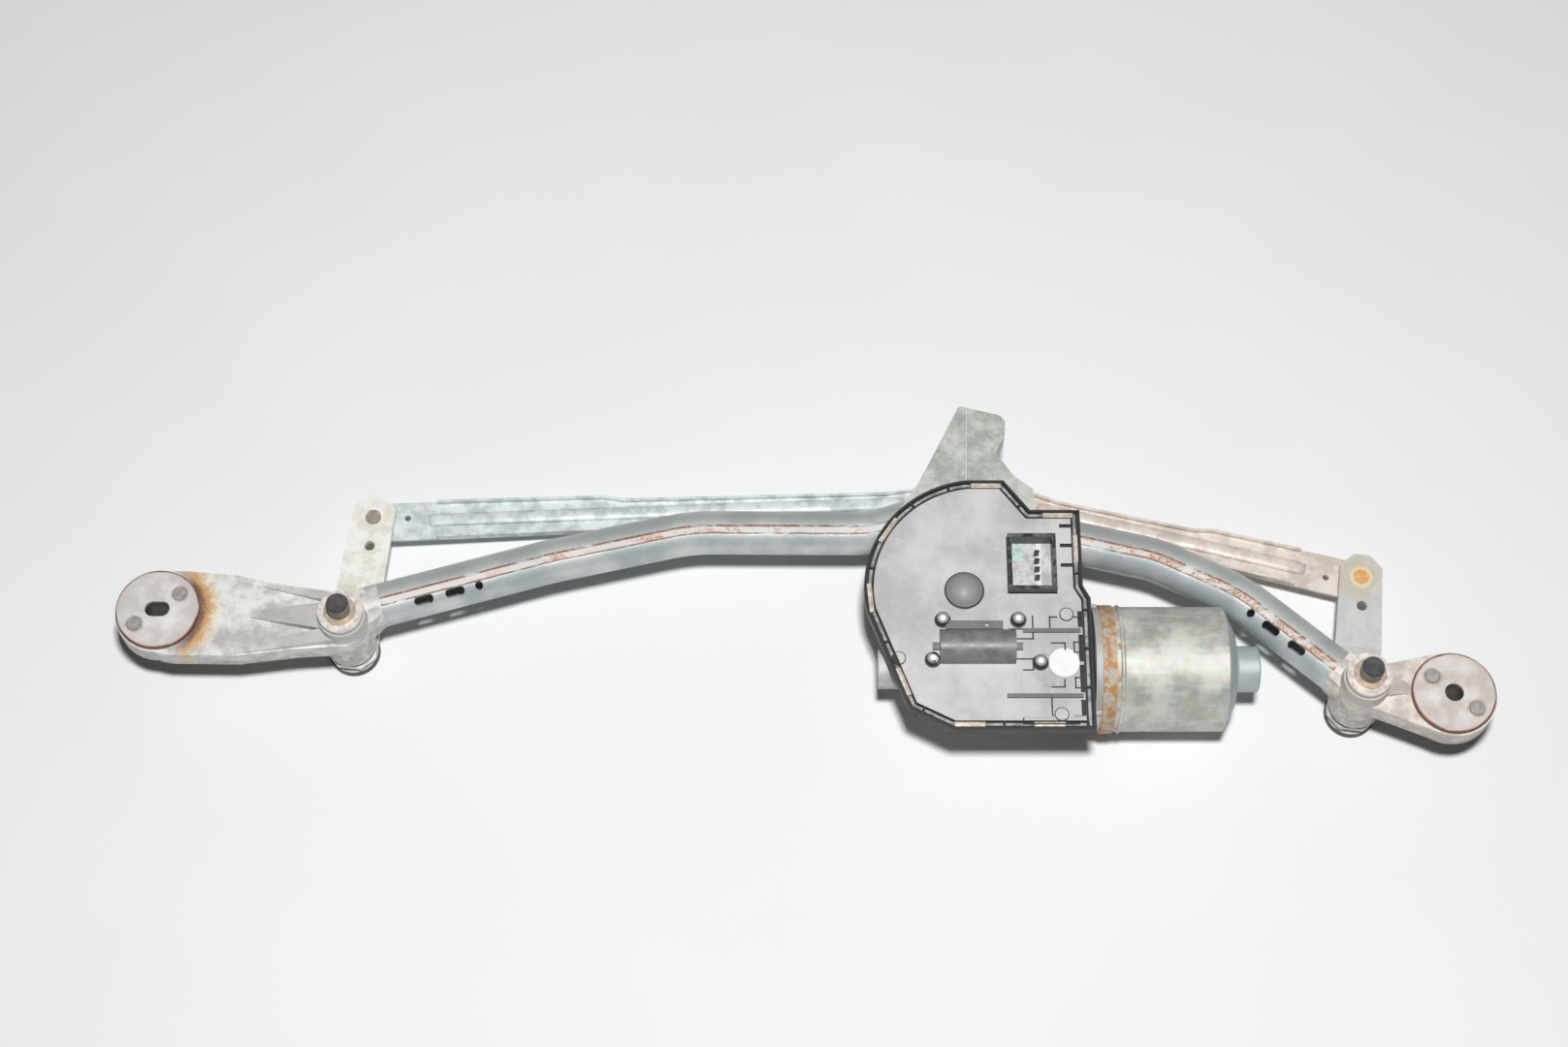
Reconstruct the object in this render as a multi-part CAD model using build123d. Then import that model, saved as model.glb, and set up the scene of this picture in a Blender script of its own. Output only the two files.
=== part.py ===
# Windscreen wiper linkage: tube frame with two spindles, central worm-gear motor, crank,
# two push rods and two levers. Millimetres, +Z up. The origin is on the axis of the round
# right-hand mounting hole, at the underside of its sleeve, level with the motor axis.
import math
import os
from build123d import *

# Plan positions of the axes
OUTPUT = (-271.0, 61.5)
LEFT_PIVOT = (-619.0, 43.0)
RIGHT_PIVOT = (-49.0, 5.5)
LEFT_MOUNT = (-724.0, 50.0)
RIGHT_MOUNT = (0.0, 0.0)

# Levers and crank share one length and one lean, so the linkage is a double parallelogram
ARM_LENGTH = 75.5
ARM_LEAN = 6.8
ARM_THICK = 3.5
ARM_WIDTH = 28.0

# Heights of the moving levels
RIGHT_ROD_Z = -20.5
LEFT_ROD_OUTER_Z = -20.5
LEFT_ROD_INNER_Z = -31.0
ARM_Z = -15.5
LEVER_ROOT_Z = -28.0
FLOOR_Z = -36.0
FOOT_THICK = 4.0

# Fits and clearances
RUN_GAP = 0.05
SEAT_GAP = 0.02
BODY_GAP = 0.4

# Frame tube
TUBE_R = 12.5
TUBE_WALL = 1.5
TUBE_Z = 1.0
SPIGOT_LENGTH = 12.0
SLOT_LENGTH = 11.0
SLOT_WIDTH = 4.5
SLOT_OFFSET = 7.5

# Spindles and their housings
SPINDLE_R = 6.0
SPINDLE_TOP = 40.0
BUSH_WALL = 1.8
BUSH_LENGTH = 14.0
BOSS_R = 14.5
BOSS_BOTTOM = -24.0
BOSS_TOP = 26.0
WASHER_R = 12.5
WASHER_THICK = 1.8
RING_R = 9.0
RING_THICK = 1.2
FOOT_R = 14.5

# Rubber mounts
EYE_R = 24.5
EYE_BOTTOM = -3.0
EYE_TOP = 10.5
EYE_SKIN = 3.0
PLATE_R = 23.5
PLATE_THICK = 2.0
SLEEVE_R = 8.0
SLEEVE_BORE = 5.25
SLOT_HOLE_R = 4.5
SLOT_HOLE_LENGTH = 14.0
GROMMET_NECK_R = 13.0
GROMMET_FLANGE_R = 20.0
GROMMET_LIP = 1.5

# Push rods
ROD_WIDTH = 24.0
ROD_WAIST = 13.0
ROD_THICK = 2.0
ROD_FLANGE = 4.0
BALL_R = 5.0
CUP_R = 8.5
CUP_HALF = 4.0
STUD_R = 3.0

# Motor and worm gear
WORM_CENTRES = 42.5
CAN_R = 35.0
CAN_LENGTH = 70.0
CAN_CONE = 6.0
CAN_CONE_R = 23.0
CAN_BEAD = 1.0
CAN_WALL = 2.0
CAN_START = -196.5
POT_R = 13.0
POT_LENGTH = 14.6
CLAMP_THICK = 1.0
CLAMP_WIDTH = 7.5
MAGNET_START = 22.0
MAGNET_END = 64.0
MAGNET_THICK = 8.5
AIR_GAP = 1.5
SHAFT_R = 4.0
WHEEL_TEETH = 60
TOOTH_DEPTH = 2.0
WORM_R = 6.2
WHEEL_THICK = 9.0
WHEEL_CLEAR = 0.3
WELL_WALL = 3.5
HOUSING_BOTTOM = -11.2
FLANGE_Z = 16.5
FLANGE_THICK = 2.5
OUTPUT_R = 6.0
OUTPUT_BOSS_R = 13.0
OUTPUT_BOSS_Z = -11.7
TUNNEL_R = 12.0

# Gearbox cover
COVER_THICK = 6.0
RIM_WALL = 1.6
GROOVE_WIDTH = 3.4
GROOVE_DEPTH = 2.2
CLIP_LENGTH = 17.0
CLIP_THICK = 2.6
CLIP_GAP = 0.3
DOME_R = 10.3
DOME_HEIGHT = 5.5
SOCKET_SIZE = (27.0, 34.0)
SOCKET_WALL = 2.2
SOCKET_TOP = 31.0
SOCKET_CENTRE = (-232.8, 72.0)
HOOD_SIZE = (42.0, 20.0)
HOOD_CENTRE = (-264.5, 22.5)
VENT_R = 8.5
VENT_CENTRE = (-216.8, 13.5)

os.makedirs("parts", exist_ok=True)
saved = []


def save(name, shape):
    """Write one node."""
    export_step(shape, f"parts/{name}.step")
    saved.append(name)


def rod_along(radius, low, high, at=(0, 0)):
    """Upright cylinder between two heights."""
    return Pos(at[0], at[1], (low + high) / 2) * Cylinder(radius, high - low)


def ring_along(outer, inner, low, high, at=(0, 0)):
    """Upright tube between two heights."""
    return rod_along(outer, low, high, at) - rod_along(inner, low - 1, high + 1, at)


def barrel_x(radius, start, end, y, z=0.0):
    """Cylinder along X between two stations."""
    return Pos((start + end) / 2, y, z) * Rot(0, 90, 0) * Cylinder(radius, end - start)


def slab(face, low, high):
    """A plan outline pulled up between two heights."""
    return Pos(0, 0, low) * extrude(face, high - low)


def outline(*points):
    """Closed straight-sided plan face."""
    return make_face(Polyline(*points, close=True))


def block(size_x, size_y, low, high, at):
    """Upright box between two heights."""
    return Pos(at[0], at[1], (low + high) / 2) * Box(size_x, size_y, high - low)


def polar(origin, length, degrees):
    """Plan point at a distance and heading from another."""
    angle = math.radians(degrees)
    return (origin[0] + length * math.cos(angle), origin[1] + length * math.sin(angle))


ARM_HEADING = 90.0 - ARM_LEAN
LEFT_BALL = polar(LEFT_PIVOT, ARM_LENGTH, ARM_HEADING)
RIGHT_BALL = polar(RIGHT_PIVOT, ARM_LENGTH, ARM_HEADING)
CRANK_BALL = polar(OUTPUT, ARM_LENGTH, ARM_HEADING)
MOTOR_Y = OUTPUT[1] - WORM_CENTRES
COVER_BOTTOM = FLANGE_Z + FLANGE_THICK
COVER_TOP = COVER_BOTTOM + COVER_THICK
CORE_R = CAN_R - CAN_WALL - MAGNET_THICK - AIR_GAP


# Frame tube: straight runs joined by bends, arching over the gear well
TUBE_POINTS = [(-600.0, 57.5), (-505.0, 84.5), (-425.0, 102.5), (-322.0, 102.0), (-271.0, 118.5),
               (-207.0, 96.5), (-160.0, 85.5), (-114.0, 63.0), (-62.0, 17.5)]
TUBE_BENDS = [120.0, 110.0, 60.0, 50.0, 90.0, 70.0, 90.0]


def tube_path(points):
    line = FilletPolyline(*[(x, y, TUBE_Z) for x, y in points], radius=TUBE_BENDS)
    return line


def frame_tube():
    path = tube_path(TUBE_POINTS)
    plane = Plane(path @ 0, z_dir=path % 0)
    body = sweep(plane * Circle(TUBE_R), path=path) - sweep(plane * Circle(TUBE_R - TUBE_WALL), path=path)
    first, last = TUBE_POINTS[0], TUBE_POINTS[-1]
    lean_left = math.degrees(math.atan2(TUBE_POINTS[1][1] - first[1], TUBE_POINTS[1][0] - first[0]))
    lean_right = math.degrees(math.atan2(TUBE_POINTS[-2][1] - last[1], TUBE_POINTS[-2][0] - last[0]))
    for origin, lean, side in ((first, lean_left, -1), (last, lean_right, 1)):
        for station in (24.0, 42.0):
            slot = SlotOverall(SLOT_LENGTH, SLOT_WIDTH)
            cut = extrude(slot, 2 * TUBE_R, both=True)
            body -= Pos(*origin, TUBE_Z) * Rot(0, 0, lean) * Pos(station, side * SLOT_OFFSET, 0) * cut
        hole = Cylinder(2.2, 4 * TUBE_R)
        body -= Pos(*origin, TUBE_Z) * Rot(0, 0, lean) * Pos(56.0, side * SLOT_OFFSET, 0) * hole
    return body


def spigot(origin, toward):
    """Solid plug that enters the tube end, with a collar that the tube butts on."""
    lean = math.degrees(math.atan2(toward[1] - origin[1], toward[0] - origin[0]))
    place = Pos(*origin, TUBE_Z) * Rot(0, 0, lean) * Rot(0, 90, 0)
    plug = Pos(0, 0, SPIGOT_LENGTH / 2 - 2.0) * Cylinder(TUBE_R - TUBE_WALL - SEAT_GAP, SPIGOT_LENGTH + 4.0)
    collar = Pos(0, 0, -5.0 - SEAT_GAP) * Cylinder(TUBE_R, 10.0)
    return place * (plug + collar)


def mount_eye(at):
    """Cup for the rubber: wall and top skin, open below, with the neck hole."""
    cup = ring_along(EYE_R, GROMMET_FLANGE_R + 0.5, EYE_BOTTOM, EYE_TOP - EYE_SKIN, at)
    skin = ring_along(EYE_R, GROMMET_NECK_R + SEAT_GAP, EYE_TOP - EYE_SKIN, EYE_TOP, at)
    return cup + skin


def bearing_boss(at):
    """Cast boss with draft, and turned lands at both ends."""
    drafted = Cone(BOSS_R, BOSS_R - 1.2, BOSS_TOP - BOSS_BOTTOM - 8)
    boss = Pos(at[0], at[1], (BOSS_TOP + BOSS_BOTTOM) / 2) * drafted
    boss += rod_along(BOSS_R - 1.8, BOSS_BOTTOM, BOSS_BOTTOM + 6, at)
    boss += rod_along(BOSS_R - 2.2, BOSS_TOP - 6, BOSS_TOP, at)
    return boss


def gusset(start, end, start_width, end_width, start_z, end_z, base_z):
    """Cast rib that widens and changes height from start to end, over or under a base level."""
    length = math.dist(start, end)
    heading = math.degrees(math.atan2(end[1] - start[1], end[0] - start[0]))
    plan = outline((0, -start_width / 2), (length, -end_width / 2), (length, end_width / 2), (0, start_width / 2))
    side = Plane.XZ * outline((0, base_z), (length, base_z), (length, end_z), (0, start_z))
    levels = (base_z, start_z, end_z)
    rib = slab(plan, min(levels), max(levels)) & extrude(side, max(start_width, end_width), both=True)
    return Pos(*start, 0) * Rot(0, 0, heading) * rib


def bush_bore(at):
    """Seats for the two bushes and a relieved middle."""
    seat = SPINDLE_R + RUN_GAP + BUSH_WALL + SEAT_GAP
    bore = rod_along(seat, BOSS_BOTTOM - 1, BOSS_TOP + 1, at)
    return bore


ARM_WALL = 2.6
ARM_CORNER = 5.0
UNDER_RIB_Z = -13.0


def arm_shell(*points):
    """Casting arm: a skin level with the eye's top, and walls that hang down round it."""
    face = offset(offset(outline(*points), -ARM_CORNER), ARM_CORNER)
    skin = slab(face, EYE_TOP - EYE_SKIN, EYE_TOP)
    walls = slab(face - offset(face, -ARM_WALL), EYE_BOTTOM, EYE_TOP)
    return skin + walls


def tube_relief(origin, toward):
    """Room round the tube where it leaves the casting."""
    lean = math.degrees(math.atan2(toward[1] - origin[1], toward[0] - origin[0]))
    place = Pos(*origin, TUBE_Z) * Rot(0, 0, lean) * Rot(0, 90, 0)
    return place * Pos(0, 0, 30.0 - SEAT_GAP) * Cylinder(TUBE_R + BODY_GAP, 60.0)


def left_housing():
    px, py = LEFT_PIVOT
    mx, my = LEFT_MOUNT
    body = arm_shell(
        (mx - 2, my + EYE_R), (mx + 12, my + EYE_R), (mx + 42, my + 22), (mx + 64, my + 17), (px + 6, py + 17),
        (px + 12, py + 12), (px + 12, py - 4), (px + 4, py - 14), (px - 28, py - 16), (mx + 46, my - 27),
        (mx + 8, my - EYE_R - 2), (mx - 2, my - EYE_R))
    body += bearing_boss(LEFT_PIVOT)
    body += mount_eye(LEFT_MOUNT)
    body += gusset((mx + 52, my - 2), (px, py + 1), 4.0, 19.0, EYE_TOP + 1.0, BOSS_TOP - 7, EYE_TOP - 1)
    body += gusset((mx + 44, my - 24), (px - 3, py - 8), 4.0, 9.0, EYE_TOP + 1.0, BOSS_TOP - 10, EYE_TOP - 1)
    body += gusset((mx + 58, my + 16), (px + 1, py + 12), 3.0, 6.0, EYE_TOP + 1.0, EYE_TOP + 5.0, EYE_TOP - 1)
    for side in (-1, 1):
        body += gusset((mx + 40, my + 12 * side), (px, py + 5 * side), 2.6, 3.4, EYE_BOTTOM, UNDER_RIB_Z, EYE_TOP - 1)
    collar = polar(TUBE_POINTS[0], -4.0, 16.0)
    body += gusset(LEFT_PIVOT, collar, 22.0, 2 * TUBE_R - 5, BOSS_TOP - 14, TUBE_Z + TUBE_R - 1, TUBE_Z - TUBE_R + 2)
    body += gusset((px + 2, py - 10), (TUBE_POINTS[0][0] - 2, TUBE_POINTS[0][1] - 9), 6.0, 3.0, 4.0, 8.0, -8.0)
    body -= tube_relief(TUBE_POINTS[0], TUBE_POINTS[1])
    body += spigot(TUBE_POINTS[0], TUBE_POINTS[1])
    body -= bush_bore(LEFT_PIVOT)
    body -= rod_along(GROMMET_FLANGE_R + 0.5, EYE_BOTTOM - 4, EYE_TOP - EYE_SKIN, LEFT_MOUNT)
    body -= rod_along(GROMMET_NECK_R + SEAT_GAP, EYE_BOTTOM - 4, EYE_TOP + 1, LEFT_MOUNT)
    return body


def right_housing():
    px, py = RIGHT_PIVOT
    mx, my = RIGHT_MOUNT
    body = arm_shell(
        (px + 4, py + 11), (px + 20, py + 14), (mx - 6, my + EYE_R), (mx + 6, my + EYE_R - 6), (mx + 6, my - EYE_R + 4),
        (mx - 4, my - EYE_R), (px + 8, py - 15), (px - 6, py - 10))
    body += bearing_boss(RIGHT_PIVOT)
    body += mount_eye(RIGHT_MOUNT)
    body += gusset((mx - 23, my + 3), (px, py + 1), 5.0, 20.0, EYE_TOP + 0.6, EYE_TOP + 7.0, EYE_TOP - 1)
    for side in (-1, 1):
        body += gusset((mx - 22, my + 9 * side), (px, py + 6 * side), 2.6, 3.4, EYE_BOTTOM, UNDER_RIB_Z, EYE_TOP - 1)
    body += gusset(RIGHT_PIVOT, TUBE_POINTS[-1], 22.0, 2 * TUBE_R - 5, BOSS_TOP - 14, TUBE_Z + TUBE_R - 1,
                   TUBE_Z - TUBE_R + 2)
    body -= tube_relief(TUBE_POINTS[-1], TUBE_POINTS[-2])
    body += spigot(TUBE_POINTS[-1], TUBE_POINTS[-2])
    body -= bush_bore(RIGHT_PIVOT)
    body -= rod_along(GROMMET_FLANGE_R + 0.5, EYE_BOTTOM - 4, EYE_TOP - EYE_SKIN, RIGHT_MOUNT)
    body -= rod_along(GROMMET_NECK_R + SEAT_GAP, EYE_BOTTOM - 4, EYE_TOP + 1, RIGHT_MOUNT)
    return body


# Mount stack: rubber spool, steel sleeve, top plate and its two rivets
GROMMET_TOP = EYE_TOP + GROMMET_LIP
RIVET_R = 4.2
RIVET_REACH = 15.0


def rivet_spots(at, degrees):
    return [polar(at, RIVET_REACH, degrees), polar(at, RIVET_REACH, degrees + 180)]


def grommet(at, degrees):
    body = rod_along(GROMMET_FLANGE_R, 0, EYE_TOP - EYE_SKIN, at)
    body += rod_along(GROMMET_NECK_R, 0, GROMMET_TOP, at)
    body += rod_along(GROMMET_FLANGE_R, EYE_TOP, GROMMET_TOP, at)
    body -= rod_along(SLEEVE_R + SEAT_GAP, -1, GROMMET_TOP + 1, at)
    for spot in rivet_spots(at, degrees):
        body -= rod_along(2.2, EYE_TOP - 1, GROMMET_TOP + 1, spot)
    return body


def rivets(at, degrees):
    shapes = []
    for spot in rivet_spots(at, degrees):
        shank = rod_along(2.1, EYE_TOP + 0.4, GROMMET_TOP + PLATE_THICK, spot)
        head = rod_along(RIVET_R, GROMMET_TOP + PLATE_THICK, GROMMET_TOP + PLATE_THICK + 1.0, spot)
        head = chamfer(head.edges().group_by(Axis.Z)[-1], 0.5)
        shapes.append(shank + head)
    return Compound(children=shapes)


def mount_plate(at, degrees, hole):
    body = rod_along(PLATE_R, GROMMET_TOP, GROMMET_TOP + PLATE_THICK, at)
    body = fillet(body.edges().group_by(Axis.Z)[-1], 0.8)
    body -= Pos(*at, 0) * extrude(hole, 40, both=True)
    for spot in rivet_spots(at, degrees):
        body -= rod_along(2.2, 0, 40, spot)
    return body


def sleeve(at, hole):
    body = rod_along(SLEEVE_R, 0, GROMMET_TOP, at)
    return body - Pos(*at, 0) * extrude(hole, 40, both=True)


# Centre bracket: saddle over the tube and an ear with a folded lip
BRACKET_LOW = TUBE_Z + TUBE_R + SEAT_GAP
BRACKET_HIGH = FLANGE_Z - SEAT_GAP
BRACKET_LIP = 2.6
BRACKET_HEM_Z = 2.0
EAR_PAD = (-256.5, 161.0)
EAR_PAD_R = 6.5
EAR_PAD_RISE = 0.6


def centre_bracket():
    plate = outline((-307.5, 107.6), (-294.4, 127.7), (-284.5, 147.4), (-270.5, 176.0), (-247.0, 169.8),
                    (-244.2, 166.0), (-244.6, 157.0), (-250.0, 146.0), (-240.4, 131.5), (-229.5, 123.0),
                    (-228.0, 101.6))
    plate = offset(offset(plate, -2.0), 2.0)
    body = slab(plate, BRACKET_LOW, BRACKET_HIGH)
    hem = plate - offset(plate, -BRACKET_LIP)
    ear = outline((-284.5, 147.4), (-270.5, 178.0), (-242.0, 171.0), (-242.0, 157.0), (-251.5, 143.0))
    body += slab(hem & ear, BRACKET_HEM_Z, BRACKET_HIGH)
    body += rod_along(EAR_PAD_R, BRACKET_LOW, BRACKET_HIGH + EAR_PAD_RISE, EAR_PAD)
    crease_z = BRACKET_HIGH + 0.8
    body += gusset((-268.7, 134.0), (-268.2, 168.0), 3.0, 3.0, crease_z, crease_z, BRACKET_LOW)
    return body


def cover_face():
    """Outline of the gear cover: a round end about the output and a square end at the motor."""
    left = OUTPUT[0] - 54.5
    right = CAN_START - 4.0
    top = OUTPUT[1] + 63.0
    step_y = OUTPUT[1] + 44.5
    low = MOTOR_Y - 45.0
    line = Polyline((OUTPUT[0] + 3, top), (OUTPUT[0] + 24, top), (OUTPUT[0] + 38.5, step_y), (right - 4, step_y),
                    (right - 4, MOTOR_Y + 40.5), (right, MOTOR_Y + 33), (right, low), (OUTPUT[0] - 8, low),
                    (OUTPUT[0] - 32, low + 12), (left, OUTPUT[1] - 17.5))
    arc = ThreePointArc((left, OUTPUT[1] - 17.5), (left + 12.5, OUTPUT[1] + 37.5), (OUTPUT[0] + 3, top))
    return make_face(line + arc)


def gear_housing():
    face = cover_face()
    body = slab(offset(face, -1.0), FLANGE_Z, COVER_BOTTOM)
    well = WORM_CENTRES - WORM_R - WHEEL_CLEAR + 0.8
    body += rod_along(well + WELL_WALL, HOUSING_BOTTOM, FLANGE_Z, OUTPUT)
    body += barrel_x(TUNNEL_R - 0.9, OUTPUT[0] - 48, CAN_START, MOTOR_Y)
    body += block(26.0, 2 * CAN_R - 4, HOUSING_BOTTOM, FLANGE_Z, (CAN_START - 13.0, MOTOR_Y))
    body += barrel_x(CAN_R - SEAT_GAP, CAN_START - 3.4, CAN_START - SEAT_GAP, MOTOR_Y)
    body += rod_along(OUTPUT_BOSS_R, OUTPUT_BOSS_Z, HOUSING_BOTTOM, OUTPUT)
    for place in PolarLocations((OUTPUT_BOSS_R + well) / 2, 8):
        pocket = Pos(*OUTPUT, HOUSING_BOTTOM) * place * Box(well - OUTPUT_BOSS_R - 7, 8.5, 4.0)
        body -= pocket
    body -= rod_along(well, -6.0, COVER_BOTTOM + 1, OUTPUT)
    body -= barrel_x(WORM_R + 1.6, OUTPUT[0] - 44, CAN_START + 1, MOTOR_Y)
    body -= rod_along(OUTPUT_R + RUN_GAP + 2.0 + SEAT_GAP, OUTPUT_BOSS_Z - 1, 0, OUTPUT)
    return body


def rim_wire(inset):
    """The cover's outline, drawn in by a distance."""
    return offset(cover_face(), -inset).faces()[0].outer_wire()


def on_wire(wire, spot):
    """Place on a wire nearest to a plan point, with X along the wire."""
    edge = min(wire.edges(), key=lambda e: e.distance_to(Vertex(*spot, 0)))
    station = edge.param_at_point(edge.closest_points(Vertex(*spot, 0))[0])
    at, along = edge @ station, edge % station
    return Pos(at.X, at.Y, 0) * Rot(0, 0, math.degrees(math.atan2(along.Y, along.X)))


GROOVE_Z = COVER_TOP - GROOVE_DEPTH
GROOVE_MIDDLE = RIM_WALL + GROOVE_WIDTH / 2
RIM_WEBS = 20
CLIP_SPOTS = [(-257.0, 124.5), (-217.0, 106.0), (-315.5, 95.4), (-325.5, 52.0), (-309.0, 1.0), (-270.0, -26.0),
              (-226.0, -26.0), (-204.5, 82.0)]
POST_SPOTS = [(-283.6, 38.5), (-289.5, 14.8), (-241.5, 38.5), (-230.0, 13.1)]
BUTTON_SPOTS = [(-308.3, 15.9), (-214.5, 42.0), (-219.4, -17.1)]


def cover_field(face):
    """The raised middle, with its shallow steps, ribs, buttons and the slotted edge at the motor."""
    field = slab(offset(face, -RIM_WALL - GROOVE_WIDTH), GROOVE_Z, COVER_TOP)
    for low, high in ((31.0, 33.4), (-7.6, -5.2)):
        width = 40.0 if low > 0 else 42.0
        field += block(width, high - low, GROOVE_Z, COVER_TOP + 1.2, (-207.0 - width / 2, (low + high) / 2))
    for spot in BUTTON_SPOTS:
        field += rod_along(3.5, GROOVE_Z, COVER_TOP + 0.7, spot)
    for y in (21.9, 3.0):
        field += Pos(-225.9, y, COVER_TOP) * Rot(0, 0, 90) * extrude(SlotOverall(8.0, 4.2), 0.7)
    field += block(34.0, 0.8, COVER_TOP - 1, COVER_TOP + 0.5, (-240.0 + 17.0, -20.0 + 1.4))
    field += block(0.8, 29.0, COVER_TOP - 1, COVER_TOP + 0.5, (-240.5, -4.8))
    for y in (96.0, 84.0, 72.0):
        field -= block(9.0, 2.2, COVER_TOP - 1.6, COVER_TOP + 1, (-212.0, y))
    for low, high in ((34.5, 44.0), (14.0, 30.0), (-4.2, 12.0), (-18.0, -8.6)):
        field -= block(2.4, high - low, COVER_TOP - 1.6, COVER_TOP + 1, (-207.2, (low + high) / 2))
    return field


def cover():
    face = cover_face()
    body = slab(face, COVER_BOTTOM, GROOVE_Z)
    body += slab(face - offset(face, -RIM_WALL), GROOVE_Z, COVER_TOP)
    bar = offset(face, -RIM_WALL - 0.9) - offset(face, -RIM_WALL - GROOVE_WIDTH + 0.9)
    body += slab(bar, GROOVE_Z, COVER_TOP - 0.6)
    body += cover_field(face)
    middle = rim_wire(GROOVE_MIDDLE)
    for index in range(RIM_WEBS):
        station = (index + 0.3) / RIM_WEBS
        at, along = middle @ station, middle % station
        turn = Rot(0, 0, math.degrees(math.atan2(along.Y, along.X)))
        body -= Pos(at.X, at.Y, COVER_TOP) * turn * Box(1.6, GROOVE_WIDTH, 2 * GROOVE_DEPTH)
        body += Pos(at.X, at.Y, COVER_TOP - GROOVE_DEPTH / 2) * turn * Box(0.9, GROOVE_WIDTH + 0.4, GROOVE_DEPTH)
    for spot in CLIP_SPOTS:
        seat = Box(CLIP_LENGTH + 2 * CLIP_GAP, CLIP_THICK + 2 * CLIP_GAP, 2 * GROOVE_DEPTH)
        body -= on_wire(middle, spot) * Pos(0, 0, COVER_TOP) * seat
    centre = (OUTPUT[0], OUTPUT[1] - 5.0)
    ball_r = (DOME_R**2 + DOME_HEIGHT**2) / (2 * DOME_HEIGHT)
    ball = Pos(*centre, COVER_TOP + DOME_HEIGHT - ball_r) * Sphere(ball_r)
    body += ball & rod_along(DOME_R, COVER_TOP - 0.5, COVER_TOP + DOME_HEIGHT + 1, centre)
    body += rod_along(DOME_R + 0.6, COVER_TOP - 0.5, COVER_TOP + 0.6, centre)
    hood_top = HOOD_CENTRE[1] + HOOD_SIZE[1] / 2
    strip = block(32.0, 5.0, COVER_TOP - 0.5, COVER_TOP + 1.6, (-266.0, hood_top + BODY_GAP + 2.5))
    body += strip - rod_along(1.2, COVER_TOP, COVER_TOP + 3, (-259.0, hood_top + 2.9))
    for spot in POST_SPOTS:
        body += ring_along(3.6, 1.8, COVER_TOP - 0.5, COVER_TOP + 4.0, spot)
        body -= rod_along(1.8, COVER_TOP - 0.4, COVER_TOP + 4.5, spot)
    gap = 2 * BODY_GAP
    body -= block(SOCKET_SIZE[0] + gap, SOCKET_SIZE[1] + gap, COVER_BOTTOM - 1, COVER_TOP + 2, SOCKET_CENTRE)
    body -= block(HOOD_SIZE[0] + 9, HOOD_SIZE[1] + gap, COVER_TOP, COVER_TOP + 9, HOOD_CENTRE)
    body -= rod_along(VENT_R + SEAT_GAP, COVER_TOP - 0.8, COVER_TOP + 2, VENT_CENTRE)
    return body


def connector_socket():
    """Shroud for the wiring plug, with four latch windows in its left wall and keys inside."""
    body = block(*SOCKET_SIZE, COVER_BOTTOM, SOCKET_TOP, SOCKET_CENTRE)
    inner = (SOCKET_SIZE[0] - 2 * SOCKET_WALL, SOCKET_SIZE[1] - 2 * SOCKET_WALL)
    body -= block(*inner, COVER_BOTTOM + 2.0, SOCKET_TOP + 1, SOCKET_CENTRE)
    left = SOCKET_CENTRE[0] - SOCKET_SIZE[0] / 2
    for step in range(4):
        y = SOCKET_CENTRE[1] + (step - 1.5) * SOCKET_SIZE[1] / 4.4
        body -= block(SOCKET_WALL, 5.4, SOCKET_TOP - 2.0, SOCKET_TOP + 1, (left + SOCKET_WALL / 2 - 0.6, y))
    return body


def terminals():
    pins = []
    for step in range(4):
        spot = (SOCKET_CENTRE[0] + 3.0, SOCKET_CENTRE[1] - 7.5 + 5.0 * step)
        pins.append(block(2.8, 0.8, COVER_BOTTOM + 2.0, COVER_BOTTOM + 9.0, spot))
    return Compound(children=pins)


def hood():
    x, y = HOOD_CENTRE
    half = HOOD_SIZE[1] / 2
    body = Pos(x, y, COVER_TOP) * Rot(0, 90, 0) * Cylinder(half, HOOD_SIZE[0])
    body &= block(HOOD_SIZE[0] + 2, HOOD_SIZE[1] + 2, COVER_TOP, COVER_TOP + half + 1, HOOD_CENTRE)
    for side in (-1, 1):
        body += block(4.0, 4.0, COVER_TOP, COVER_TOP + 2.5, (x + side * (HOOD_SIZE[0] / 2 + 2.0), y))
    return body


def clips():
    """Bright lugs that show in the groove at eight places."""
    middle = rim_wire(GROOVE_MIDDLE)
    lug = Pos(0, 0, (GROOVE_Z + COVER_TOP) / 2) * Box(CLIP_LENGTH, CLIP_THICK, COVER_TOP - GROOVE_Z)
    return Compound(children=[on_wire(middle, spot) * lug for spot in CLIP_SPOTS])


# Motor: can with bearing pot, and the moving armature
CAN_END = CAN_START + CAN_LENGTH


def can_profile(radius, cone_r, pot_r, start, end, cone, pot_end, bead=0.0):
    """Half section of the drawn can, turned about the motor's axis."""
    points = [(start, 0), (start, radius), (end, radius), (end + cone, cone_r), (end + cone, pot_r + 1.5),
              (end + cone + 2.5, pot_r), (pot_end - 0.8, pot_r), (pot_end, pot_r - 0.8), (pot_end, 0)]
    turned = revolve(Plane.XZ * outline(*points), Axis.X)
    if bead:
        ring = Pos(start + CLAMP_WIDTH + 4.0, 0, 0) * Rot(0, 90, 0) * Torus(radius - bead * 0.4, bead * 1.4)
        turned += ring
    return Pos(0, MOTOR_Y, 0) * turned


def motor_can():
    pot_end = CAN_END + CAN_CONE + POT_LENGTH
    outer = can_profile(CAN_R, CAN_CONE_R, POT_R, CAN_START, CAN_END, CAN_CONE, pot_end, CAN_BEAD)
    wall = CAN_WALL
    inner = can_profile(CAN_R - wall, CAN_CONE_R - wall, POT_R - wall, CAN_START - 1, CAN_END - 0.6 * wall,
                        CAN_CONE - 0.4 * wall, pot_end - wall)
    return outer - inner


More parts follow.
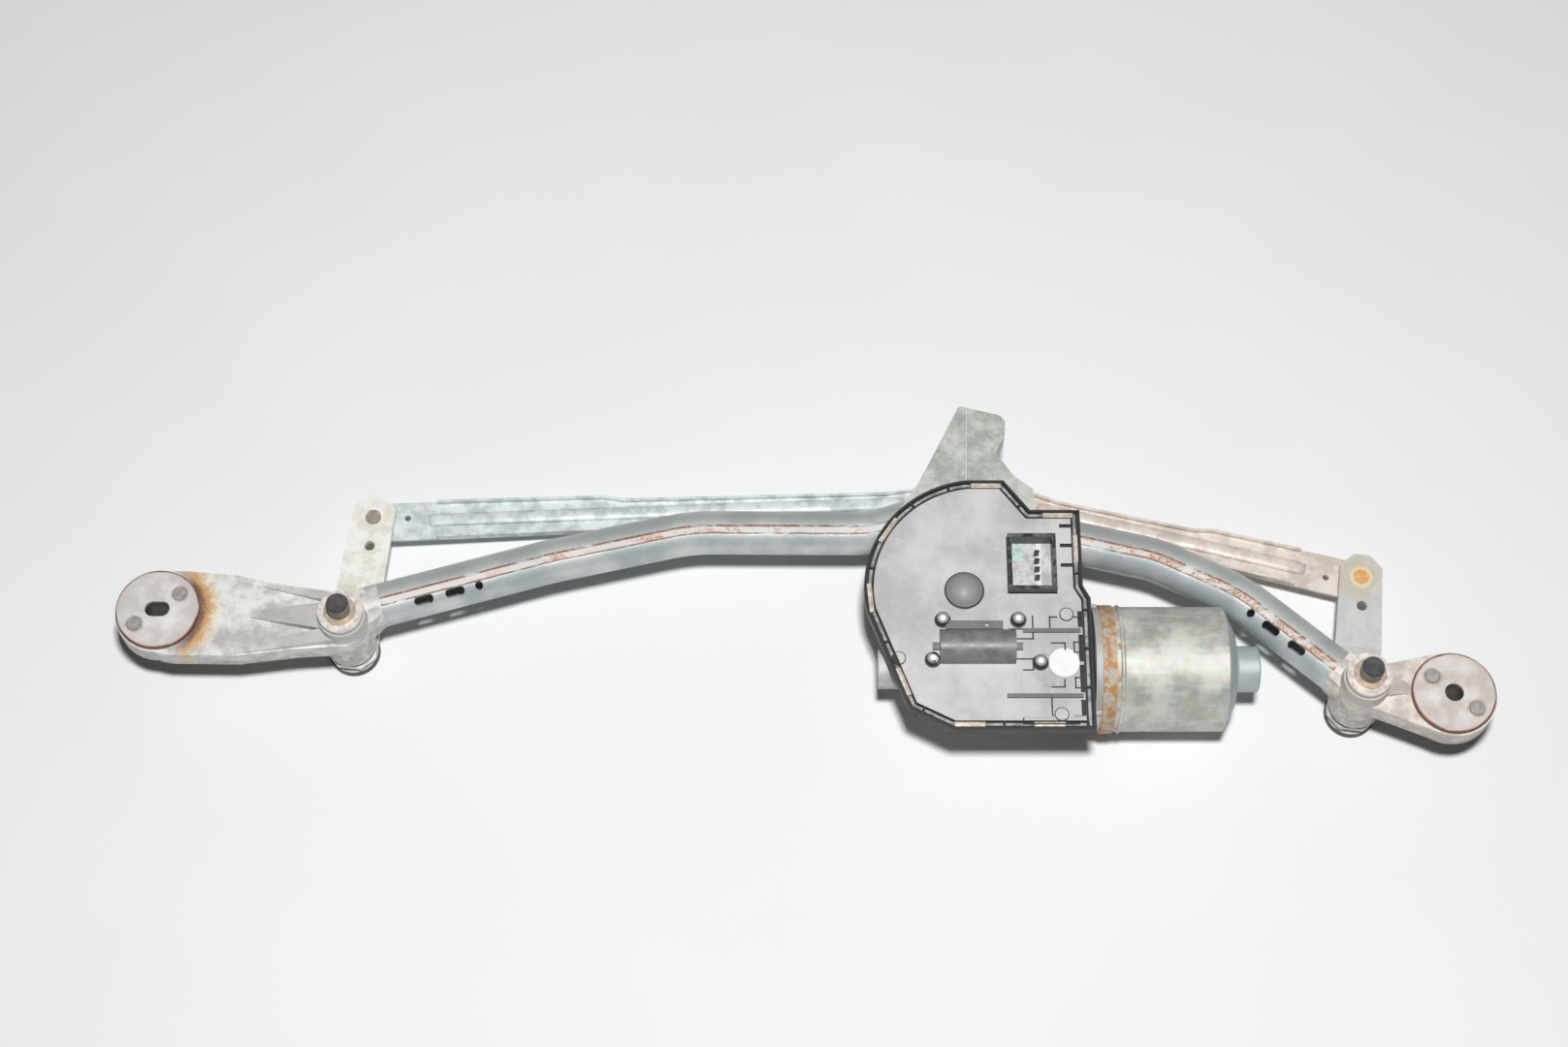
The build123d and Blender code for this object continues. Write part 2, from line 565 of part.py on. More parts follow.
def clamp_ring():
    ring = barrel_x(CAN_R + CLAMP_THICK, CAN_START + 0.5, CAN_START + 0.5 + CLAMP_WIDTH, MOTOR_Y)
    return ring - barrel_x(CAN_R + SEAT_GAP, CAN_START - 1, CAN_START + 20, MOTOR_Y)


def armature():
    body = barrel_x(SHAFT_R, OUTPUT[0] - 40, CAN_END + CAN_CONE + POT_LENGTH - CAN_WALL - 1.5, MOTOR_Y)
    body += barrel_x(WORM_R, OUTPUT[0] - 18, OUTPUT[0] + 18, MOTOR_Y)
    body += barrel_x(CORE_R, CAN_START + MAGNET_START + 3, CAN_START + MAGNET_END - 3, MOTOR_Y)
    return body


def commutator():
    body = barrel_x(11.0, CAN_START + 8, CAN_START + 22, MOTOR_Y)
    return body - barrel_x(SHAFT_R + SEAT_GAP, CAN_START + 7, CAN_START + 23, MOTOR_Y)


def magnets():
    ring = barrel_x(CAN_R - CAN_WALL - SEAT_GAP, CAN_START + MAGNET_START, CAN_START + MAGNET_END, MOTOR_Y)
    ring -= barrel_x(CORE_R + AIR_GAP, CAN_START, CAN_END, MOTOR_Y)
    gap = Pos(CAN_START + CAN_LENGTH / 2, MOTOR_Y, 0) * Box(CAN_LENGTH, CORE_R * 1.2, 4 * CAN_R)
    ring -= gap
    return Compound(children=list(ring.solids()))


def brush_plate():
    plate = barrel_x(CAN_R - CAN_WALL - SEAT_GAP, CAN_START + 1, CAN_START + 6, MOTOR_Y)
    return plate - barrel_x(9.0, CAN_START, CAN_START + 7, MOTOR_Y)


def shaft_bearing(start, end, outer):
    body = barrel_x(outer, start, end, MOTOR_Y)
    return body - barrel_x(SHAFT_R + RUN_GAP, start - 1, end + 1, MOTOR_Y)


# Output side: worm wheel, shaft, crank and double ball stud
def worm_wheel():
    """Moulded wheel with a slot between each pair of teeth, cut to the worm's lead."""
    wheel_r = WORM_CENTRES - WORM_R - WHEEL_CLEAR
    body = rod_along(wheel_r, -WHEEL_THICK / 2, WHEEL_THICK / 2, OUTPUT)
    gap = 0.5 * 2 * math.pi * wheel_r / WHEEL_TEETH
    slot = Rot(6, 0, 0) * Box(2 * TOOTH_DEPTH, gap, WHEEL_THICK + 4)
    body -= [Pos(*OUTPUT, 0) * place * slot for place in PolarLocations(wheel_r, WHEEL_TEETH)]
    body -= ring_along(wheel_r - 5, 14.0, WHEEL_THICK / 2 - 2.5, WHEEL_THICK, OUTPUT)
    body -= rod_along(OUTPUT_R + SEAT_GAP, -20, 20, OUTPUT)
    return body


def output_shaft():
    low = ARM_Z - 0.5
    body = rod_along(OUTPUT_R, ARM_Z + ARM_THICK + 0.05, 9.0, OUTPUT)
    body += rod_along(OUTPUT_R - 1.0, low + 0.5, ARM_Z + ARM_THICK + 0.05, OUTPUT)
    return body


def output_bush():
    return ring_along(OUTPUT_R + RUN_GAP + 2.0, OUTPUT_R + RUN_GAP, OUTPUT_BOSS_Z, -6.0, OUTPUT)


def arm_blank(root, heading, width, low):
    """Flat bar with chamfered ends from a pivot to its ball stud."""
    half = width / 2
    cut = width * 0.28
    reach = ARM_LENGTH + half
    points = [(-half + 2, -half + cut), (-half + 2 + cut, -half), (reach - cut, -half + 1), (reach, -half + cut + 1),
              (reach, half - cut - 1), (reach - cut, half - 1), (-half + 2 + cut, half), (-half + 2, half - cut)]
    bar = slab(outline(*points), low, low + ARM_THICK)
    return Pos(*root, 0) * Rot(0, 0, heading) * bar


def crank_arm():
    body = arm_blank(OUTPUT, ARM_HEADING, ARM_WIDTH - 2, ARM_Z)
    body -= rod_along(OUTPUT_R - 1.0 + SEAT_GAP, ARM_Z - 1, 0, OUTPUT)
    body -= rod_along(STUD_R + SEAT_GAP, ARM_Z - 1, 0, CRANK_BALL)
    return body


def crank_stud():
    x, y = CRANK_BALL
    body = rod_along(STUD_R, LEFT_ROD_INNER_Z, ARM_Z + ARM_THICK, CRANK_BALL)
    body += Pos(x, y, RIGHT_ROD_Z) * Sphere(BALL_R)
    body += Pos(x, y, LEFT_ROD_INNER_Z) * Sphere(BALL_R)
    return body & rod_along(20, -35.2, 0, CRANK_BALL)


# Levers: root plate, joggle ramp and stud end, one pressed bar
JOGGLE_START = 19.0
JOGGLE_END = 33.0


def lever(root, heading):
    half = ARM_WIDTH / 2
    cut = 7.5
    reach = ARM_LENGTH + half
    plan = outline((-half + 1, -half + cut), (-half + 1 + cut, -half), (reach - cut, -half + 2), (reach, -half + cut + 2),
                   (reach, half - cut - 2), (reach - cut, half - 2), (-half + 1 + cut, half), (-half + 1, half - cut))
    side = Plane.XZ * make_face(Polyline(
        (-half - 5, LEVER_ROOT_Z), (JOGGLE_START, LEVER_ROOT_Z), (JOGGLE_END, ARM_Z), (reach + 5, ARM_Z),
        (reach + 5, ARM_Z + ARM_THICK), (JOGGLE_END - 1, ARM_Z + ARM_THICK), (JOGGLE_START - 1, LEVER_ROOT_Z + ARM_THICK),
        (-half - 5, LEVER_ROOT_Z + ARM_THICK), close=True))
    bar = extrude(side, ARM_WIDTH, both=True) & slab(plan, FLOOR_Z, 0)
    bar -= rod_along(SPINDLE_R - 1.0 + SEAT_GAP, FLOOR_Z, 0)
    bar -= rod_along(STUD_R + SEAT_GAP, FLOOR_Z, 0, (ARM_LENGTH, 0))
    bar -= rod_along(3.0, FLOOR_Z, 0, (ARM_LENGTH - 18.0, -1.0))
    return Pos(*root, 0) * Rot(0, 0, heading) * bar


def lever_stud(ball, level):
    x, y = ball
    body = rod_along(STUD_R, level, ARM_Z + ARM_THICK + 0.05, ball)
    body += rod_along(4.6, ARM_Z + ARM_THICK + 0.05, ARM_Z + ARM_THICK + 0.45, ball)
    return body + Pos(x, y, level) * Sphere(BALL_R)


def spindle(at):
    body = rod_along(SPINDLE_R, LEVER_ROOT_Z + ARM_THICK + 0.05, SPINDLE_TOP, at)
    body = chamfer(body.edges().group_by(Axis.Z)[-1], 0.8)
    body += rod_along(SPINDLE_R - 1.0, FLOOR_Z + 1.0, LEVER_ROOT_Z + ARM_THICK + 0.05, at)
    groove = BOSS_TOP + 0.2 + WASHER_THICK
    body -= ring_along(SPINDLE_R + 1, SPINDLE_R - 0.8, groove, groove + RING_THICK + 0.1, at)
    return body


def spindle_bushes(at):
    outer = SPINDLE_R + RUN_GAP + BUSH_WALL
    low = ring_along(outer, SPINDLE_R + RUN_GAP, BOSS_BOTTOM, BOSS_BOTTOM + BUSH_LENGTH, at)
    high = ring_along(outer, SPINDLE_R + RUN_GAP, BOSS_TOP - BUSH_LENGTH, BOSS_TOP, at)
    return Compound(children=[low, high])


def spindle_washer(at):
    return ring_along(WASHER_R, SPINDLE_R + 0.1, BOSS_TOP + 0.1, BOSS_TOP + 0.1 + WASHER_THICK, at)


def retaining_ring(at):
    low = BOSS_TOP + 0.25 + WASHER_THICK
    ring = ring_along(RING_R, SPINDLE_R - 0.75, low, low + RING_THICK, at)
    return ring - block(4.0, 20.0, low - 1, low + 3, (at[0], at[1] + 10))


def foot_disc(at):
    disc = ring_along(FOOT_R, SPINDLE_R - 1.0 + SEAT_GAP, FLOOR_Z, FLOOR_Z + FOOT_THICK, at)
    spacer = ring_along(8.5, SPINDLE_R - 1.0 + SEAT_GAP, FLOOR_Z + FOOT_THICK, LEVER_ROOT_Z - 0.02, at)
    return disc + spacer


# Push rods: flat eyes, waisted web with upturned flanges, tilted between their ball levels
def push_rod(start, end, start_z, end_z):
    span = math.dist(start, end)
    heading = math.degrees(math.atan2(end[1] - start[1], end[0] - start[0]))
    tilt = math.degrees(math.atan2(end_z - start_z, span))
    length = math.hypot(span, end_z - start_z)
    half, waist = ROD_WIDTH / 2, ROD_WAIST / 2
    wide_end = 0.38 * length
    points = [(-11, -half + 4), (-7, -half), (wide_end, -half + 1), (wide_end + 12, -waist - 2), (length - 50, -waist),
              (length - 38, -waist - 1.5), (length - 14, -half + 3), (length, -half + 1), (length + 9, -half + 5),
              (length + 9, half - 5), (length, half - 1), (length - 14, half - 3), (length - 38, waist + 1.5),
              (length - 50, waist), (wide_end + 12, waist + 2), (wide_end, half - 1), (-7, half), (-11, half - 4)]
    face = outline(*points)
    web = slab(face, -ROD_THICK / 2, ROD_THICK / 2)
    edge = slab(face - offset(face, -1.6), -ROD_THICK / 2, ROD_FLANGE)
    edge &= block(length - 64, 60, -5, 10, (length / 2 + 4, 0))
    rod = web + edge
    for station in (0.0, length):
        rod -= rod_along(CUP_R - 2.0 + SEAT_GAP, -10, 10, (station, 0))
    rod -= rod_along(1.8, -10, 10, (19.0, 2.0))
    place = Pos(*start, start_z) * Rot(0, 0, heading) * Rot(0, -tilt, 0)
    return place * rod, place, length


def ball_cup(through):
    """Moulded cup that grips the rod eye and snaps over the ball."""
    body = rod_along(CUP_R - 2.0, -CUP_HALF, CUP_HALF)
    body += rod_along(CUP_R, ROD_THICK / 2 + SEAT_GAP, CUP_HALF)
    body += rod_along(CUP_R, -CUP_HALF, -ROD_THICK / 2 - SEAT_GAP)
    body -= Sphere(BALL_R + RUN_GAP)
    body -= rod_along(4.2, 0, 10)
    if through:
        body -= rod_along(4.2, -10, 0)
    return body


# Screws that hold the gear housing to the bracket
SCREW_SPOTS = [(-300.0, 104.0), (-262.0, 112.0), (-236.0, 100.0)]
SCREW_R = 2.5


def gearbox_screws():
    return Compound(children=[rod_along(SCREW_R, BRACKET_LOW + 0.2, COVER_BOTTOM - 0.3, spot) for spot in SCREW_SPOTS])


def cut_screw_holes(shape):
    for spot in SCREW_SPOTS:
        shape -= rod_along(SCREW_R + SEAT_GAP, BRACKET_LOW - 1, COVER_BOTTOM, spot)
    return shape


slot_hole = SlotOverall(SLOT_HOLE_LENGTH, 2 * SLOT_HOLE_R)
round_hole = Circle(SLEEVE_BORE)
LEFT_RIVETS = 37.0
RIGHT_RIVETS = -40.0

save("frame_tube", frame_tube())
save("left_housing", left_housing())
save("right_housing", right_housing())
save("centre_bracket", cut_screw_holes(centre_bracket()))
save("gear_housing", cut_screw_holes(gear_housing()))
save("gearbox_screws", gearbox_screws())
save("gear_cover", cover())
save("connector_socket", connector_socket())
save("terminals", terminals())
save("cover_hood", hood())
save("vent_membrane", rod_along(VENT_R, COVER_TOP - 0.7, COVER_TOP, VENT_CENTRE))
save("cover_clips", clips())
save("motor_can", motor_can())
save("can_clamp_ring", clamp_ring())
save("motor_magnets", magnets())
save("brush_plate", brush_plate())
save("armature", armature())
save("commutator", commutator())
save("rear_bearing", shaft_bearing(CAN_END + CAN_CONE + 3, CAN_END + CAN_CONE + 11, POT_R - CAN_WALL - SEAT_GAP))
save("front_bearing", shaft_bearing(OUTPUT[0] - 38, OUTPUT[0] - 28, WORM_R + 1.6 - SEAT_GAP))
save("worm_wheel", worm_wheel())
save("output_shaft", output_shaft())
save("output_bush", output_bush())
save("crank_arm", crank_arm())
save("crank_ball_stud", crank_stud())
for side, pivot, ball, mount, level in (
    ("left", LEFT_PIVOT, LEFT_BALL, LEFT_MOUNT, LEFT_ROD_OUTER_Z),
    ("right", RIGHT_PIVOT, RIGHT_BALL, RIGHT_MOUNT, RIGHT_ROD_Z),
):
    rivets_at = LEFT_RIVETS if side == "left" else RIGHT_RIVETS
    hole = slot_hole if side == "left" else round_hole
    save(f"{side}_spindle", spindle(pivot))
    save(f"{side}_bushes", spindle_bushes(pivot))
    save(f"{side}_washer", spindle_washer(pivot))
    save(f"{side}_retaining_ring", retaining_ring(pivot))
    save(f"{side}_foot_disc", foot_disc(pivot))
    save(f"{side}_lever", lever(pivot, ARM_HEADING))
    save(f"{side}_ball_stud", lever_stud(ball, level))
    save(f"{side}_mount_plate", mount_plate(mount, rivets_at, hole))
    save(f"{side}_mount_rivets", rivets(mount, rivets_at))
    save(f"{side}_grommet", grommet(mount, rivets_at))
    save(f"{side}_sleeve", sleeve(mount, hole))
    end_z = LEFT_ROD_INNER_Z if side == "left" else RIGHT_ROD_Z
    rod, place, length = push_rod(ball, CRANK_BALL, level, end_z)
    save(f"{side}_push_rod", rod)
    save(f"{side}_outer_cup", place * ball_cup(False))
    save(f"{side}_inner_cup", place * Pos(length, 0, 0) * ball_cup(side == "right"))
print(len(saved), "nodes")
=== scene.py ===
# Windscreen wiper linkage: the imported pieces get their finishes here, and the small formed
# details that the solids leave out are made on top of them. Metres, +Z along the spindles.
import math

import bmesh
import bpy
from mathutils import Matrix, Vector


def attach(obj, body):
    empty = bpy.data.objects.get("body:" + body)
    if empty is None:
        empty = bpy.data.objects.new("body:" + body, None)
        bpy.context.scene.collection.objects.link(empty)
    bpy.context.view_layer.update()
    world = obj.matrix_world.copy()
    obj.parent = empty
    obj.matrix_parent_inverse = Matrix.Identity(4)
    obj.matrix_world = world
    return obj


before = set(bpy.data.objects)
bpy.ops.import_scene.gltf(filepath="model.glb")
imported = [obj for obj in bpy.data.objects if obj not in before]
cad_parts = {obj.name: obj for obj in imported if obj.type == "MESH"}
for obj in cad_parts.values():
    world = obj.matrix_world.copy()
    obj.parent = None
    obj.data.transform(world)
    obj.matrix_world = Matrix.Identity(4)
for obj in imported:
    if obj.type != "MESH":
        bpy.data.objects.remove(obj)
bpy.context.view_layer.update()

# Where it lies: a plain pale table, seen by a camera that stands in front of the linkage and
# looks down at it, under one small lamp overhead and a dim even room. The table is as high as
# the lowest points that the linkage rests on.
MM = 0.001
TABLE_HEIGHT = -36.0 * MM
CAMERA_AIM = Vector((-371.8, 106.9, 4.0)) * MM
CAMERA_ELEVATION = math.radians(66.0)
CAMERA_DISTANCE = 1.6
CAMERA_LENS = 64.07
TABLE_COLOUR = (0.86, 0.865, 0.87, 1.0)
SKY_LEVEL = 0.055
LAMP_PLACE = (-0.31, -0.29, 1.97)
LAMP_WATTS = 41.0
LAMP_SIZE = 0.18
TABLE_REACH = 3.0

camera = bpy.data.objects.new("camera", bpy.data.cameras.new("camera"))
camera.data.lens = CAMERA_LENS
camera.data.sensor_width = 36.0
camera.data.clip_start = 0.05
camera.rotation_euler = (math.pi / 2 - CAMERA_ELEVATION, 0.0, 0.0)
camera.location = CAMERA_AIM + CAMERA_DISTANCE * Vector(
    (0.0, -math.cos(CAMERA_ELEVATION), math.sin(CAMERA_ELEVATION)))
bpy.context.collection.objects.link(camera)
bpy.context.scene.camera = camera

world = bpy.data.worlds.new("room")
bpy.context.scene.world = world
world.use_nodes = True
world.node_tree.nodes["Background"].inputs["Color"].default_value = (0.95, 0.97, 1.0, 1.0)
world.node_tree.nodes["Background"].inputs["Strength"].default_value = SKY_LEVEL
bpy.context.scene.view_settings.view_transform = "Standard"


def softbox(name, place, watts, size):
    """A square lamp that faces the linkage."""
    lamp = bpy.data.objects.new(name, bpy.data.lights.new(name, "AREA"))
    lamp.data.energy = watts
    lamp.data.size = size
    lamp.location = place
    lamp.rotation_euler = (CAMERA_AIM - Vector(place)).to_track_quat("-Z", "Y").to_euler()
    bpy.context.collection.objects.link(lamp)


softbox("key_lamp", LAMP_PLACE, LAMP_WATTS, LAMP_SIZE)


class Field:
    """A value that runs over a surface. Sums and products on it add Math nodes."""

    def __init__(self, finish, socket):
        self.finish = finish
        self.socket = socket

    def maths(self, operation, first, second=0.0):
        return self.finish.node("Math", {"operation": operation}, {0: first, 1: second})

    def __add__(self, other):
        return self.maths("ADD", self, other)

    def __sub__(self, other):
        return self.maths("SUBTRACT", self, other)

    def __rsub__(self, other):
        return self.maths("SUBTRACT", other, self)

    def __mul__(self, other):
        return self.maths("MULTIPLY", self, other)

    def __truediv__(self, other):
        return self.maths("DIVIDE", self, other)

    def __pow__(self, other):
        return self.maths("POWER", self, other)

    def __abs__(self):
        return self.maths("ABSOLUTE", self)

    __radd__ = __add__
    __rmul__ = __mul__


class Finish:
    """A material being built up from Object coordinates, in metres."""

    def __init__(self, name):
        self.material = bpy.data.materials.new(name)
        self.material.use_nodes = True
        self.tree = self.material.node_tree
        self.shader = self.tree.nodes["Principled BSDF"]
        self.place = self.node("TexCoord", output="Object")
        self.facing = self.node("TexCoord", output="Normal")

    def feed(self, socket, value):
        if isinstance(value, Field):
            self.tree.links.new(value.socket, socket)
        else:
            socket.default_value = value

    def node(self, kind, settings=None, sockets=None, output=0):
        node = self.tree.nodes.new("ShaderNode" + kind)
        for name, value in (settings or {}).items():
            setattr(node, name, value)
        for name, value in (sockets or {}).items():
            self.feed(node.inputs[name], value)
        return Field(self, node.outputs[output])

    def axis(self, name):
        """One coordinate in millimetres."""
        return self.node("SeparateXYZ", None, {0: self.place}, name) / MM

    def faces(self, name):
        """How far the surface faces along an axis, from -1 to 1."""
        return self.node("SeparateXYZ", None, {0: self.facing}, name)

    def band(self, value, low, high, soft):
        """1 while value lies between low and high, with soft edges."""
        return self.ramp(value, low - soft, low + soft) * self.ramp(value, high + soft, high - soft)

    def stretched(self, stretch):
        """The place with each axis drawn out by a factor."""
        scale = tuple(1.0 / s for s in stretch)
        return self.node("Mapping", None, {"Vector": self.place, "Scale": scale})

    def noise(self, size, detail=3.0, roughness=0.55, place=None):
        """Cloudy noise from 0 to 1 whose spots are about size millimetres wide."""
        sockets = {"Vector": place or self.place, "Scale": 1.0 / (size * MM), "Detail": detail,
                   "Roughness": roughness}
        return self.node("TexNoise", None, sockets, "Fac")

    def cells(self, size, output="Color"):
        """Random cells about size millimetres wide, as zinc crystals make."""
        return self.node("TexVoronoi", None, {"Vector": self.place, "Scale": 1.0 / (size * MM)}, output)

    def ramp(self, value, low, high, start=0.0, end=1.0):
        """Rises smoothly from start to end while value goes from low to high."""
        sockets = {"Value": value, "From Min": low, "From Max": high, "To Min": start, "To Max": end}
        return self.node("MapRange", {"interpolation_type": "SMOOTHSTEP"}, sockets)

    def mix(self, mask, under, over):
        """The colour under, covered by over where mask is 1."""
        return self.node("Mix", {"data_type": "RGBA"}, {0: mask, 6: under, 7: over}, 2)

    def away(self, x, y):
        """Distance in plan from a point, in millimetres."""
        dx = self.axis("X") - x
        dy = self.axis("Y") - y
        return (dx * dx + dy * dy) ** 0.5

    def done(self, colour, roughness, metallic=0.0, height=None, depth=0.1):
        """Closes the material. height from 0 to 1 is depth millimetres of relief."""
        self.feed(self.shader.inputs["Base Color"], colour)
        self.feed(self.shader.inputs["Roughness"], roughness)
        self.feed(self.shader.inputs["Metallic"], metallic)
        if height is not None:
            bump = self.node("Bump", None, {"Height": height, "Distance": depth * MM}, "Normal")
            self.feed(self.shader.inputs["Normal"], bump)
        return self.material


def shade(level, warmth=0.0):
    """A grey of that level, warmer or cooler by warmth."""
    return (level * (1.0 + warmth), level, level * (1.0 - warmth), 1.0)


def coat(material, *names):
    """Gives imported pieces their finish."""
    for name in names:
        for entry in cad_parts[name].material_slots:
            entry.material = material


def table_finish():
    finish = Finish("table")
    cloud = finish.noise(160.0, 2.0)
    colour = finish.mix(finish.ramp(cloud, 0.3, 0.7), TABLE_COLOUR, shade(0.85, -0.01))
    return finish.done(colour, 0.75)


def table(height, reach):
    """A flat table top that runs well out of the picture."""
    form = bmesh.new()
    bmesh.ops.create_grid(form, x_segments=1, y_segments=1, size=reach)
    bmesh.ops.translate(form, verts=form.verts, vec=(CAMERA_AIM.x, CAMERA_AIM.y, height))
    mesh = bpy.data.meshes.new("table")
    form.to_mesh(mesh)
    form.free()
    piece = bpy.data.objects.new("table", mesh)
    piece.data.materials.append(table_finish())
    bpy.context.collection.objects.link(piece)


table(TABLE_HEIGHT, TABLE_REACH)

# Frame tube: galvanised steel tube, bent in a press and crimped on the castings through slots
# near both ends. Its weld seam runs along the near side of the top as a bright ground strip,
# with a thin line of rust on each side and rust that has spread over it in patches.
TUBE_TOP = 13.5
SEAM_NEAR = 1.02
SEAM_FAR = 0.20
RUST = (0.20, 0.075, 0.035, 1.0)
PALE_RUST = (0.50, 0.27, 0.16, 1.0)


def tube_finish():
    finish = Finish("galvanised_tube")
    drop = TUBE_TOP - finish.axis("Z")
    cloud = finish.noise(26.0, 4.0)
    fine = finish.noise(1.4, 3.0)
    flake = finish.noise(7.0, 5.0, 0.75, finish.stretched((2.6, 1.0, 1.0)))
    near = finish.ramp(finish.faces("Y"), 0.02, -0.06)
    zinc = finish.mix(finish.ramp(cloud, 0.35, 0.65), (0.43, 0.475, 0.49, 1.0), (0.62, 0.66, 0.655, 1.0))
    zinc = finish.mix(finish.ramp(fine, 0.5, 0.8) * 0.3, zinc, shade(0.66))
    far_side = finish.ramp(finish.faces("Y"), 0.0, 0.5)
    zinc = finish.mix(far_side * 0.55, zinc, (0.47, 0.48, 0.43, 1.0))
    strip = finish.band(drop + flake * 0.12, SEAM_FAR, SEAM_NEAR, 0.05) * near
    lines = finish.band(drop + flake * 0.3, SEAM_FAR - 0.08, SEAM_NEAR + 0.45, 0.08) * near - strip
    worse = finish.ramp(finish.axis("X"), -200.0, -110.0, 0.0, 0.07)
    region = finish.noise(60.0, 2.0) + worse * 3.0
    patch = finish.ramp(flake + worse, 0.51, 0.56) * finish.ramp(region, 0.40, 0.55)
    stripped = finish.mix(patch * finish.ramp(fine, 0.35, 0.6), shade(0.66, 0.03), PALE_RUST)
    worn = finish.mix(finish.ramp(fine, 0.45, 0.6) * 0.6, RUST, PALE_RUST)
    colour = finish.mix(lines * finish.ramp(flake, 0.38, 0.5), zinc, worn)
    colour = finish.mix(strip, colour, stripped)
    rusty = lines + patch * strip
    roughness = finish.ramp(cloud, 0.3, 0.7, 0.5, 0.38) + rusty * 0.2 + strip * 0.28
    return finish.done(colour, roughness, 0.32 - rusty * 0.15 - strip * 0.17, fine + flake * 0.6, 0.12)


coat(tube_finish(), "frame_tube")

# Bearing housings and gear housing: aluminium pressure die castings with a bright skin on their
# tops, darkened in patches towards the bottom by dirt in their pockets and by painted shade, the
# left one stained by its plate. The centre bracket is pressed from galvanised strip, with a crease
# along its middle whose bright line is painted highlight.
LEFT_MOUNT = (-724.0, 50.0)
RIGHT_MOUNT = (0.0, 0.0)
EYE_TOP = 10.5
BRACKET_CREASE = (-267.5, 140.0)


def casting_finish(name, bright, dull, stained):
    finish = Finish(name)
    cloud = finish.noise(15.0, 5.0, 0.65)
    grain = finish.noise(0.9, 2.0)
    dirt = finish.noise(5.0, 4.0, 0.7)
    colour = finish.mix(finish.ramp(cloud, 0.38, 0.62), dull, bright)
    high = finish.ramp(finish.axis("Z"), EYE_TOP + 1.0, EYE_TOP + 4.0)
    colour = finish.mix(high * 0.75, colour, dull)
    # Darker in patches towards the bottom: dirt in the pockets, and painted shade there too.
    low = finish.ramp(finish.axis("Z"), 6.0, -2.0)
    colour = finish.mix(low * finish.ramp(dirt, 0.35, 0.7) * 0.6, colour, shade(0.20, 0.04))
    colour = finish.mix(finish.ramp(dirt, 0.66, 0.74) * 0.35, colour, shade(0.22, 0.04))
    roughness = finish.ramp(cloud, 0.3, 0.7, 0.42, 0.6)
    if stained:
        ring = finish.away(*LEFT_MOUNT)
        beside = finish.ramp(finish.axis("X"), LEFT_MOUNT[0] + 8.0, LEFT_MOUNT[0] + 20.0)
        spread = finish.ramp(ring + dirt * 18.0, 46.0, 36.0) * beside
        stain = finish.mix(finish.ramp(ring + dirt * 6.0, 27.5, 31.0),
                           (0.14, 0.055, 0.025, 1.0), (0.60, 0.30, 0.08, 1.0))
        stain = finish.mix(finish.ramp(ring + dirt * 10.0, 33.0, 40.0), stain, (0.82, 0.66, 0.36, 1.0))
        colour = finish.mix(spread * 0.9, colour, stain)
    return finish.done(colour, roughness, 0.12, grain + cloud, 0.2)


coat(casting_finish("left_casting", (0.80, 0.785, 0.75, 1.0), (0.50, 0.49, 0.475, 1.0), True), "left_housing")
coat(casting_finish("right_casting", (0.80, 0.74, 0.67, 1.0), (0.52, 0.475, 0.44, 1.0), False),
     "right_housing")
coat(casting_finish("housing_casting", shade(0.60), shade(0.42), False), "gear_housing")


def bracket_finish():
    """Pressed strip with a crease down its middle, drawn as a bright line of painted highlight, and white
    oxide on its flanks.
    """
    finish = Finish("bracket_zinc")
    cloud = finish.noise(11.0, 5.0, 0.7)
    fine = finish.noise(1.3, 3.0)
    across = finish.axis("X") - (BRACKET_CREASE[0] + (finish.axis("Y") - BRACKET_CREASE[1]) * 0.03)
    crease_and_painted_highlight = finish.band(across + fine * 0.8, 0.0, 1.3, 0.25) * finish.ramp(finish.axis("Y"), 122.0, 132.0)
    flank = finish.ramp(abs(across), 3.0, 10.0)
    colour = finish.mix(finish.ramp(cloud, 0.36, 0.64), (0.42, 0.45, 0.41, 1.0), (0.60, 0.62, 0.57, 1.0))
    colour = finish.mix(flank * finish.ramp(cloud, 0.5, 0.65) * 0.5, colour, (0.62, 0.61, 0.58, 1.0))
    # Painted highlight: the crease's line made brighter in colour.
    colour = finish.mix(crease_and_painted_highlight * 0.7, colour, (0.72, 0.76, 0.72, 1.0))
    colour = finish.mix(finish.ramp(fine, 0.64, 0.74) * 0.35, colour, (0.30, 0.26, 0.20, 1.0))
    return finish.done(colour, finish.ramp(cloud, 0.3, 0.7, 0.4, 0.58), 0.3, cloud + crease_and_painted_highlight, 0.3)


coat(bracket_finish(), "centre_bracket")

# Mounts: a rubber spool in each casting eye, a steel sleeve, and a zinc-plated plate held on by
# two rivets. The plates are rusted round their rims, where the plating was cut.
PLATE_RADIUS = 23.5
RIVET_REACH = 15.0


def rivet_spots(centre, heading):
    """Plan places of a plate's two rivets."""
    angle = math.radians(heading)
    reach = Vector((RIVET_REACH * math.cos(angle), RIVET_REACH * math.sin(angle)))
    return [Vector(centre) + reach, Vector(centre) - reach]


